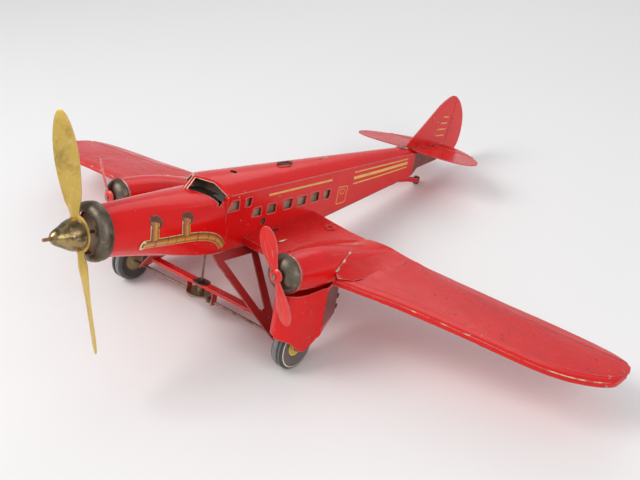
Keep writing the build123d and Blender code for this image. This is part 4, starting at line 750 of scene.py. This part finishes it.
# exhaust pipework printed and lightly pressed on each side of the nose
def pipe_material():
    k = Mat("print_exhaust", "UV")
    sep = k.t.nodes.new("ShaderNodeSeparateXYZ")
    k.link(k.co, sep.inputs[0])
    u, v = sep.outputs[0], sep.outputs[1]
    shade = k.ramp(v, [(0.0, (0.60, 0.40, 0.12)), (0.07, (0.58, 0.38, 0.11)), (0.10, (0.10, 0.025, 0.012)), (0.28, (0.34, 0.11, 0.025)),
                       (0.56, (0.66, 0.30, 0.06)), (0.72, (0.58, 0.24, 0.045)), (0.86, (0.20, 0.055, 0.018)), (0.91, (0.58, 0.38, 0.11)), (1.0, (0.60, 0.40, 0.12))])
    wave = k.math("FRACT", k.math("MULTIPLY", u, 9.0))
    seam = k.math("LESS_THAN", wave, 0.08)
    c = k.mix(k.math("MULTIPLY", seam, 0.8), shade, (0.09, 0.025, 0.012, 1))
    ob = k.tc.outputs["Object"]
    c = k.mix(k.band(k.noise(210.0, 5.0, 0.62, 0.2, ob), 0.56, 0.70, 0.0, 0.8), c, (0.45, 0.06, 0.03, 1))
    k.link(c, k.b.inputs["Base Color"])
    k.link(k.band(k.noise(80.0, 3.0, 0.5, 0, ob), 0.3, 0.7, 0.26, 0.44), k.b.inputs["Roughness"])
    k.link(k.bump(k.noise(300.0, 3.0, 0.5, 0, ob), 0.12, 0.0003), k.b.inputs["Normal"])
    set_in(k.b, Coat_Weight=0.25, Coat_Roughness=0.2)
    return k.m


PIPE = pipe_material()
MANI = [(-25.0, -6.1), (-31.6, -5.8), (-41.2, -5.6), (-51.8, -5.5), (-60.8, -5.9), (-68.0, -7.2), (-73.6, -9.2), (-77.6, -12.2), (-80.0, -15.2)]
RISERS = (((-31.6, -3.9), (-31.3, -1.0), (-31.4, 2.0), (-32.1, 5.2)), ((-51.9, -4.0), (-51.4, -1.2), (-51.4, 2.0), (-52.2, 5.2)))
DISCS = ((-32.9, 5.3), (-53.1, 5.2))


def smooth_path(pts, k=5):
    out = []
    for i in range(len(pts) - 1):
        p = [Vector(pts[max(i - 1, 0)]), Vector(pts[i]), Vector(pts[i + 1]), Vector(pts[min(i + 2, len(pts) - 1)])]
        for j in range(k):
            t = j / k
            out.append(tuple(0.5 * ((2 * p[1]) + (p[2] - p[0]) * t + (2 * p[0] - 5 * p[1] + 4 * p[2] - p[3]) * t * t + (3 * p[1] - 3 * p[2] + p[3] - p[0]) * t**3)))
    out.append(tuple(pts[-1]))
    return out


for side, tag in ((1, "left"), (-1, "right")):
    ribbon("exhaust_pipe_" + tag, smooth_path(MANI), lambda t: 5.2 + 0.2 * math.sin(math.pi * t) - 0.9 * max(0.0, t - 0.75), side, PIPE, off=0.08, crown=0.60, across=12, stepmm=1.0)
    for gi, (gx, gz) in enumerate(DISCS):
        ring = [(gx + 3.5 * math.cos(a), gz + 2.9 * math.sin(a)) for a in [2 * math.pi * i / 28 for i in range(28)]]
        patch("exhaust_port_%s_%d" % (tag, gi + 1), ring, side, GROM, off=0.06)
        ribbon("exhaust_grommet_%s_%d" % (tag, gi + 1), ring, 0.9, side, GROM, off=0.08, crown=0.45, closed=True, across=6, stepmm=0.7)
        riser = RISERS[gi]
        ribbon("exhaust_riser_%s_%d" % (tag, gi + 1), smooth_path(riser), lambda t: 5.7 - 0.5 * t, side, PIPE, off=0.16, crown=0.60, across=10, stepmm=0.8)
        top = riser[-1]
        patch("exhaust_riser_top_%s_%d" % (tag, gi + 1), [(top[0] + 2.5 * math.cos(a), top[1] + 0.2 + 1.2 * math.sin(a)) for a in [2 * math.pi * i / 20 for i in range(20)]], side, GROM, off=0.24)
    mouth = [(-25.2 + 1.7 * math.cos(a), -6.1 + 2.8 * math.sin(a)) for a in [2 * math.pi * i / 24 for i in range(24)]]
    patch("exhaust_mouth_rim_" + tag, mouth, side, CREAM, off=0.55)
    patch("exhaust_mouth_" + tag, [(-25.2 + 0.7 * math.cos(a), -6.1 + 1.5 * math.sin(a)) for a in [2 * math.pi * i / 16 for i in range(16)]], side, GROM, off=0.66)
    # small rubbed chips by the forward windows
    for ci, (qx, qz, qr) in enumerate(((-94.2, -2.0, 0.8), (-113.4, -7.4, 0.7), (-101.0, -5.5, 0.5), (-128.8, 8.0, 0.5), (-90.0, 12.9, 0.6))):
        pts = []
        for i in range(11):
            a = 2 * math.pi * i / 11
            rr = qr * (0.7 + 0.5 * noise.noise(Vector((ci * 3.3 + math.cos(a), math.sin(a), 2.0 * side))))
            pts.append((qx + rr * 1.4 * math.cos(a), qz + rr * math.sin(a)))
        patch("chip_%s_%d" % (tag, ci + 1), pts, side, TABS, off=0.03)

# ---------------------------------------------------------------------------
# cabin: bare inner walls seen through the windows
# ---------------------------------------------------------------------------
rows = []
for x in [-84.0 - 4 * i for i in range(28)]:
    w = half_width(x) - 1.15
    rows.append([W(x, -w, belly(x) + 2.2), W(x, -w, 2.0), W(x, -w, crease(x) - 0.9), W(x, -w * 0.55, crease(x) + 5.2), W(x, 0, crease(x) + 7.2),
                 W(x, w * 0.55, crease(x) + 5.2), W(x, w, crease(x) - 0.9), W(x, w, 2.0), W(x, w, belly(x) + 2.2)])
# only the roof is lined here, so that the windows stay see-through
roof = [[r[2], r[3], r[4], r[5], r[6]] for r in rows]
finish_piece("cabin_roof_inside", grid_mesh(roof), BARE, thick=0.0002, split=60)
for side, tag in ((1, "left"), (-1, "right")):
    wall = []
    for x in [-83.5 - 4 * i for i in range(28)]:
        y = side * (half_width(x) - 2.2 - 0.35 * math.sin(x * 0.9))
        wall.append([W(x, y, belly(x) + 3), W(x, y - 0.4 * side, -4.0), W(x, y, 2.0), W(x, y - 0.5 * side, 8.0), W(x, y * 0.96, crease(x) - 1.0)])
    finish_piece("cabin_wall_" + tag, grid_mesh(wall), BARE, thick=0.0003, split=60)

# painted shade: dark well under the windscreen, with a bare plate behind it
rows = []
for i in range(9):
    x = -65.0 - i * 2.9
    w = 3.0 + (half_width(-84) - 4.6) * min(1.0, i / 6.0)
    rows.append([W(x, w * (j / 4 - 1), 12.6 - 0.28 * i - 0.5 * (j / 4 - 1) ** 2) for j in range(9)])
finish_piece("cockpit_floor", grid_mesh(rows), INSIDE_SHADE, thick=0.0002, split=60)
rows = [[W(-89.0 - 0.8 * abs(j / 5 - 1), 12.2 * (j / 5 - 1), 10.0 + i * 1.35) for j in range(11)] for i in range(8)]
finish_piece("cockpit_plate", grid_mesh(rows), BARE, thick=0.0003, split=60)

# painted shade in the lower corners of the windscreen openings
CORNER = (((-75.39, 10.50, 14.03), (-77.04, 13.65, 11.97), (-78.29, 15.80, 10.70)),
          ((-79.47, 13.79, 14.49), (-80.42, 15.58, 13.33), (-79.29, 15.68, 11.96)))
for tag, side in (("left", 1), ("right", -1)):
    finish_piece("windscreen_corner_" + tag, grid_mesh([[W(x, side * y, z) for x, y, z in row] for row in CORNER]), INSIDE_SHADE, thick=0.0001)

# bright worn edges round the windscreen openings
P0, P1, P2 = Vector((-62.6, 0, 15.2)), Vector((-69.6, 0, 22.9)), Vector((-81.7, 17.9, 14.2))


def tube(name, pts, r, mat, body="airframe", seg=8, closed=False):
    """Round wire through points given in aircraft mm."""
    P = [W(*p) for p in pts]
    n = len(P)
    rows = []
    up = Vector((0.1, 0.2, 1.0)).normalized()
    for i in range(n):
        a = P[(i - 1) % n] if closed or i > 0 else P[i]
        b = P[(i + 1) % n] if closed or i < n - 1 else P[i]
        t = (b - a).normalized()
        u = t.cross(up)
        if u.length < 1e-3:
            u = t.cross(Vector((1, 0, 0)))
        u.normalize()
        v = t.cross(u)
        rows.append([P[i] + (u * math.cos(2 * math.pi * k / seg) + v * math.sin(2 * math.pi * k / seg)) * (r / 1000) for k in range(seg)])
    if closed:
        rows.append(rows[0])
    return finish_piece(name, grid_mesh(rows, close_u=True), mat, body, split=60)


def line3(a, b, k=10):
    return [tuple(a.lerp(b, i / k)) for i in range(k + 1)]


for side, tag in ((1, "left"), (-1, "right")):
    def Q(s, t):
        p = P0 + (P1 - P0) * s + (P2 - P0) * t
        return Vector((p.x, side * p.y, p.z))
    edge = [Q(0.10, 0.06), Q(0.88, 0.06), Q(0.70, 0.50), Q(0.03, 0.93)]
    tube("screen_edge_" + tag, line3(edge[0], edge[1]) + line3(edge[1], edge[2])[1:] + line3(edge[2], edge[3])[1:], 0.30, TABS)

# ---------------------------------------------------------------------------
# fuselage seams: roof crease, lower edge bead, tail cap
# ---------------------------------------------------------------------------
for side, tag in ((1, "left"), (-1, "right")):
    # lighter red bead: painted highlight along the roof crease
    tube("roof_crease_" + tag, [(x, side * (half_width(x) - 0.02), crease(x) + 0.02) for x in [-83 - 5 * i for i in range(44)]], 0.34, RIM_HIGHLIGHT, seg=8)
    tube("belly_bead_" + tag, [(x, side * (half_width(x) - 0.05), belly(x) + 0.1) for x in [-84 - 6 * i for i in range(36)]], 0.36, DARK_RED_AND_SHADE, seg=8)
    tube("tail_crease_" + tag, [(-303.8, side * 5.05, z) for z in (1.4, 5, 9, 13, 17, 18.8)], 0.22, DARK_RED_AND_SHADE, seg=6)

# ---------------------------------------------------------------------------
# nacelle fillets, seams and tabs on the wing
# ---------------------------------------------------------------------------
NAC = [(-75.6, 10.7, 10.7, -11.3), (-92.0, 11.4, 11.5, -12.0), (-108.0, 11.6, 11.0, -12.6), (-130.0, 11.6, 7.2, -12.4), (-150.0, 11.6, 3.4, -12.0),
       (-168.0, 11.6, 1.3, -12.4)]


def nac_at(x):
    return (smooth_table([(-n[0], n[1]) for n in NAC], -x), smooth_table([(-n[0], n[2]) for n in NAC], -x), smooth_table([(-n[0], n[3]) for n in NAC], -x))


for side, tag in ((1, "left"), (-1, "right")):
    rows = []
    for i in range(48):
        x = -97.2 - i * (163.0 - 97.2) / 47
        ry, rz, zc = nac_at(x)
        blend = lerp_table([(97, 53.0), (104, 47.0), (118, 43.0), (145, 46.0), (156, 55.0), (163, 60.0)], -x)
        fade = step(0, 7, -97.0 - x + 1.5)
        # start on the nacelle shoulder
        ang = math.radians(128)
        ay, az = 70.2 + ry * 1.002 * math.cos(ang), zc + rz * 1.003 * math.sin(ang)
        by = blend
        bz = wing_z(x, by) + 0.12
        cy_ = 70.2 - ry * 1.0
        cz_ = wing_z(x, cy_) + 0.35
        row = []
        for j in range(15):
            t = j / 14
            yy = (1 - t) ** 2 * ay + 2 * t * (1 - t) * cy_ + t * t * by
            zz = (1 - t) ** 2 * az + 2 * t * (1 - t) * cz_ + t * t * bz
            zz += 0.18 * noise.noise(Vector((x * 0.08, yy * 0.1, 4.0 * side))) * math.sin(math.pi * t)
            row.append(W(x, side * yy, zz))
        rows.append(row)
    finish_piece("nacelle_fillet_" + tag, grid_mesh(rows, flip=side > 0), RED_WING_SHADED, thick=0.0003, offset=0.0, split=70)
    # outboard side of the engine body running out on to the outer panel
    rows = []
    for i in range(52):
        x = -105.0 - i * (163.0 - 105.0) / 51
        ry, rz, zc = nac_at(x)
        by = lerp_table([(105, 83.5), (111, 90.0), (119, 91.9), (132, 91.2), (144, 92.9), (156, 94.0), (163, 92.0)], -x)
        ang = math.radians(50)
        ay, az = 70.2 + ry * 1.004 * math.cos(ang), zc + rz * 1.004 * math.sin(ang)
        cy_, cz_ = 70.2 + ry * (1.0 - 0.25 * step(105, 112, -x)), zc + rz * 0.35 * step(105, 116, -x)
        cz_ = max(cz_, wing_z(x, cy_) + 0.4)
        bz = wing_z(x, by) + 0.42
        row = []
        for j in range(17):
            t = j / 16
            yy = (1 - t) ** 2 * ay + 2 * t * (1 - t) * cy_ + t * t * by
            zz = (1 - t) ** 2 * az + 2 * t * (1 - t) * cz_ + t * t * bz
            zz += 0.30 * noise.noise(Vector((x * 0.11, yy * 0.15, 5.0 * side))) * math.sin(math.pi * t)
            row.append(W(x, side * yy, zz))
        rows.append(row)
    finish_piece("outboard_fillet_" + tag, grid_mesh(rows, flip=side > 0), RED_WING_SHADED, thick=0.0003, offset=0.0, split=70)

    def shoulder(x, lift=0.0):
        t = min(max((-x - 104.0) / 20.0, 0.0), 1.0)
        ry, rz, zc = nac_at(x)
        ang = math.radians(2.0 + 54.0 * t ** 0.85)
        return (x, side * (70.2 + (ry + 0.35 + lift) * math.cos(ang)), zc + (rz + 0.35 + lift) * math.sin(ang))

    # lighter red bead: painted highlight along the panel seam on the nacelle shoulder
    tube("panel_seam_" + tag, [shoulder(-104.0 - 20.0 * i / 24) for i in range(25)], 0.30, RIM_HIGHLIGHT, seg=8)
    for ti, x0 in enumerate((-105.6, -112.0, -120.6)):
        rows = []
        for i in range(7):
            dx = (i - 3) * 0.42
            p = Vector(shoulder(x0 + dx, 0.30 + 0.30 * math.sin(math.pi * i / 6)))
            q = Vector(shoulder(x0 + dx + 0.4, 0.30 + 0.30 * math.sin(math.pi * i / 6)))
            out = Vector((0, side * 0.55, -0.25))
            rows.append([W(*(p + out * (j - 2) * 0.5)) for j in range(5)])
        finish_piece("panel_tab_%s_%d" % (tag, ti + 1), grid_mesh(rows), TABS, thick=0.0003, offset=0.0, split=60)
    # root tab slots by the fuselage; the second slot is drawn black as painted shade
    for ti, (x0, y0) in enumerate(((-115.0, 33.5), (-122.0, 20.4))):
        rows = []
        for i in range(9):
            x = x0 - (i - 4) * 0.9
            rows.append([W(x, side * (y0 + (j - 2) * 0.42), wing_z(x, y0) + 0.30 + 0.22 * math.sin(math.pi * i / 8) * math.sin(math.pi * j / 4)) for j in range(5)])
        finish_piece("root_tab_%s_%d" % (tag, ti + 1), grid_mesh(rows), TABS if ti == 0 else BLACK_MARKS_AND_SHADE, thick=0.0002, offset=0.0, split=60)
    # rolled lips of the nacelle behind the dome, and the square hole in the dome drawn black as painted shade
    disc("nacelle_lip_" + tag, -75.6, side * 70.2, -11.3, [(0.25, 10.35), (0.45, 10.75), (0.2, 11.1), (-0.5, 11.15), (-1.1, 10.95)], RED_WING_SHADED, "airframe", thick=0.0002)
    sq = []
    for j, (dy, dz) in enumerate(((-4.9, 3.3), (-3.1, 3.3), (-3.1, 5.1), (-4.9, 5.1))):
        rr = math.hypot(dy, dz)
        sq.append((dy, dz, -75.4 + 3.3 + 2.65 * math.cos(min(rr / 10.8, 1) * 1.35)))
    rows = [[W(sq[0][2] - 0.05, side * 70.2 - sq[0][0], -11.3 + sq[0][1]), W(sq[1][2] - 0.05, side * 70.2 - sq[1][0], -11.3 + sq[1][1])],
            [W(sq[3][2] - 0.05, side * 70.2 - sq[3][0], -11.3 + sq[3][1]), W(sq[2][2] - 0.05, side * 70.2 - sq[2][0], -11.3 + sq[2][1])]]
    finish_piece("dome_slot_" + tag, grid_mesh(rows), BLACK_MARKS_AND_SHADE, thick=0.0004, offset=0.0)

# ---------------------------------------------------------------------------
# fin and stabilizer: hinge lines and beads
# ---------------------------------------------------------------------------
for side, tag in ((1, "left"), (-1, "right")):
    tube("rudder_line_" + tag, [(-362.7 + 5.3 * t, side * 0.42, 60.0 - 36.0 * t) for t in [i / 12 for i in range(13)]], 0.26, DARK_RED_AND_SHADE, seg=6)
    tube("elevator_line_" + tag, [(-333.6 - 2.0 * math.sin(t * 3.0), side * (7 + 33 * t), 22.95) for t in [i / 14 for i in range(15)]], 0.26, DARK_RED_AND_SHADE, seg=6)
    for bi in range(4):
        zz, x0 = 31.0 + bi * 5.2, -339.0 - bi * 2.4
        rows = [[W(x0 - 13.0 * i / 12 * (1 - 0.12 * bi), side * 0.46, zz + 0.9 * (j / 2 - 1)) for j in range(3)] for i in range(13)]
        finish_piece("fin_bar_%s_%d" % (tag, bi + 1), grid_mesh(rows), GOLD, thick=0.0001, offset=0.0, split=60)
    # darker skin of the tapering tail
    rows = []
    for i in range(20):
        t = i / 19
        x = -304.4 - 41.0 * t
        s8 = min((-304.0 - x) / 8.0, 1.0)
        s36 = max(0.0, (-312.0 - x) / 36.0)
        hw = (5.0 - 1.0 * s8) if x > -312 else (4.0 - 3.1 * s36)
        zb = (1.0 + 5.2 * s8) if x > -312 else (6.2 + 3.2 * s36)
        rows.append([W(x, side * (hw + 0.20), zb + 0.5 + (18.6 - zb) * j / 5) for j in range(6)])
    finish_piece("tail_skin_" + tag, grid_mesh(rows, flip=side > 0), TAIL_DARK, thick=0.0001, offset=0.0, split=60)
    # scuffs on the outer panel and rubbed spots along its front edge
    for mi, (mx, my, ml) in enumerate(((-139.6, 126.5, 2.4), (-141.9, 132.9, 1.6), (-130.2, 145.3, 2.6), (-152.5, 141.7, 1.2), (-155.1, 149.8, 1.3), (-126.7, 153.3, 1.2),
                                       (-135.7, 162.8, 1.3), (-129.3, 165.5, 0.9), (-133.3, 171.6, 3.2), (-138.1, 173.3, 1.8), (-129.4, 173.5, 2.4), (-148.6, 182.7, 1.0),
                                       (-163.5, 195.7, 1.0), (-155.2, 214.5, 1.4), (-154.8, 211.0, 1.2), (-142.0, 214.6, 2.2))):
        rows = []
        for i in range(9):
            t = i / 8 * 2 - 1
            wd = 0.34 * (1 - t * t) ** 0.5 * (0.7 + 0.6 * noise.noise(Vector((mi * 2.1, t * 3, side)))) + 0.03
            px = mx + 0.25 * ml * t + 0.3 * noise.noise(Vector((mi * 1.3, t * 2, 0)))
            py = my + ml * 0.5 * t
            rows.append([on_wing(px + wd * j, py, side, 0.06) for j in (-1, 0, 1)])
        finish_piece("wing_scuff_%s_%d" % (tag, mi + 1), grid_mesh(rows), BLACK_MARKS_AND_SHADE, thick=0.00005, offset=0.0, split=60)
    for mi, (my, ml) in enumerate(((128.7, 1.6), (146.0, 2.2), (158.7, 2.0), (204.0, 3.0), (208.6, 2.0), (211.6, 2.6), (216.3, 2.0), (222.5, 1.6))):
        rows = []
        for i in range(9):
            t = i / 8 * 2 - 1
            y = my + ml * t
            x = smooth_table(LE, y) + 0.10
            hh = 0.55 + 0.35 * noise.noise(Vector((mi * 3.7, t * 4, side)))
            hh *= (1 - t * t) ** 0.5 + 0.1
            rows.append([W(x + 0.12, side * y, wing_z(x, y) - 0.9 + hh * j * 0.5) for j in (-1, 0, 1)])
        finish_piece("wing_rub_%s_%d" % (tag, mi + 1), grid_mesh(rows), TABS, thick=0.0001, offset=0.0, split=60)
    # painted shade: dark strip along the aileron crease
    line = [[], []]
    for i in range(120):
        y = 101.0 + (227.0 - 101.0) * i / 119
        for j in (0, 1):
            line[j].append(on_wing(lerp_table(CREASE, y) + (0.35 if j else -0.35), y, side, 0.07))
    finish_piece("aileron_line_" + tag, grid_mesh(line), PAINTED_SHADE, thick=0.00005, offset=0.0, split=60)
    # painted shade: black disc for the hole inside the eyelet
    rows = []
    for i in range(3):
        r = (0.05, 1.0, 1.95)[i]
        rows.append([W(-158.0 + r * math.cos(2 * math.pi * k / 24), side * (36.0 + r * math.sin(2 * math.pi * k / 24)),
                       wing_z(-158.0 + r * math.cos(2 * math.pi * k / 24), 36.0 + r * math.sin(2 * math.pi * k / 24)) + 0.12) for k in range(24)])
    finish_piece("eyelet_hole_" + tag, grid_mesh(rows, close_u=True), BLACK_MARKS_AND_SHADE, thick=0.0001, offset=0.0, split=60)
    # painted shade on the back panels of the wheel fairing, with the seam and its tabs
    for fi, f in enumerate((1, -1)):
        rows = []
        for i in range(12):
            z = -25.2 - 21.6 * i / 11
            rows.append([W(-103.6 - 21.6 * j / 6, side * (71.3 + f * (8.95 - (8.95 - 0.75) * (0.6 + 21.6 * j / 6) / 22.4 + 0.10)), z) for j in range(7)])
        finish_piece("fairing_back_%s_%d" % (tag, fi + 1), grid_mesh(rows), PAINTED_SHADE, thick=0.0001, offset=0.0, split=60)
    tube("fairing_seam_" + tag, [(-126.0, side * 71.3, -25.0 - 21.6 * i / 10) for i in range(11)], 0.40, PAINTED_SHADE, seg=8)
    for ti, z0 in enumerate((-27.0, -34.6, -41.4)):
        rows = [[W(-126.2 - 0.35 * j, side * (71.3 + 0.15 * math.sin(i)), z0 - 0.62 * i) for j in range(5)] for i in range(6)]
        finish_piece("fairing_tab_%s_%d" % (tag, ti + 1), grid_mesh(rows), BLACK_MARKS_AND_SHADE, thick=0.0012, offset=0.0, split=60)
    # dirt along the roof in front of the fin
    rows = [[W(-283.0 - 1.6 * i, side * (0.2 + 0.9 * j), 24.42 + 0.02 * i - 0.10 * j) for j in range(4)] for i in range(9)]
    finish_piece("roof_dirt_" + tag, grid_mesh(rows), TAIL_DARK, thick=0.00005, offset=0.0, split=60)
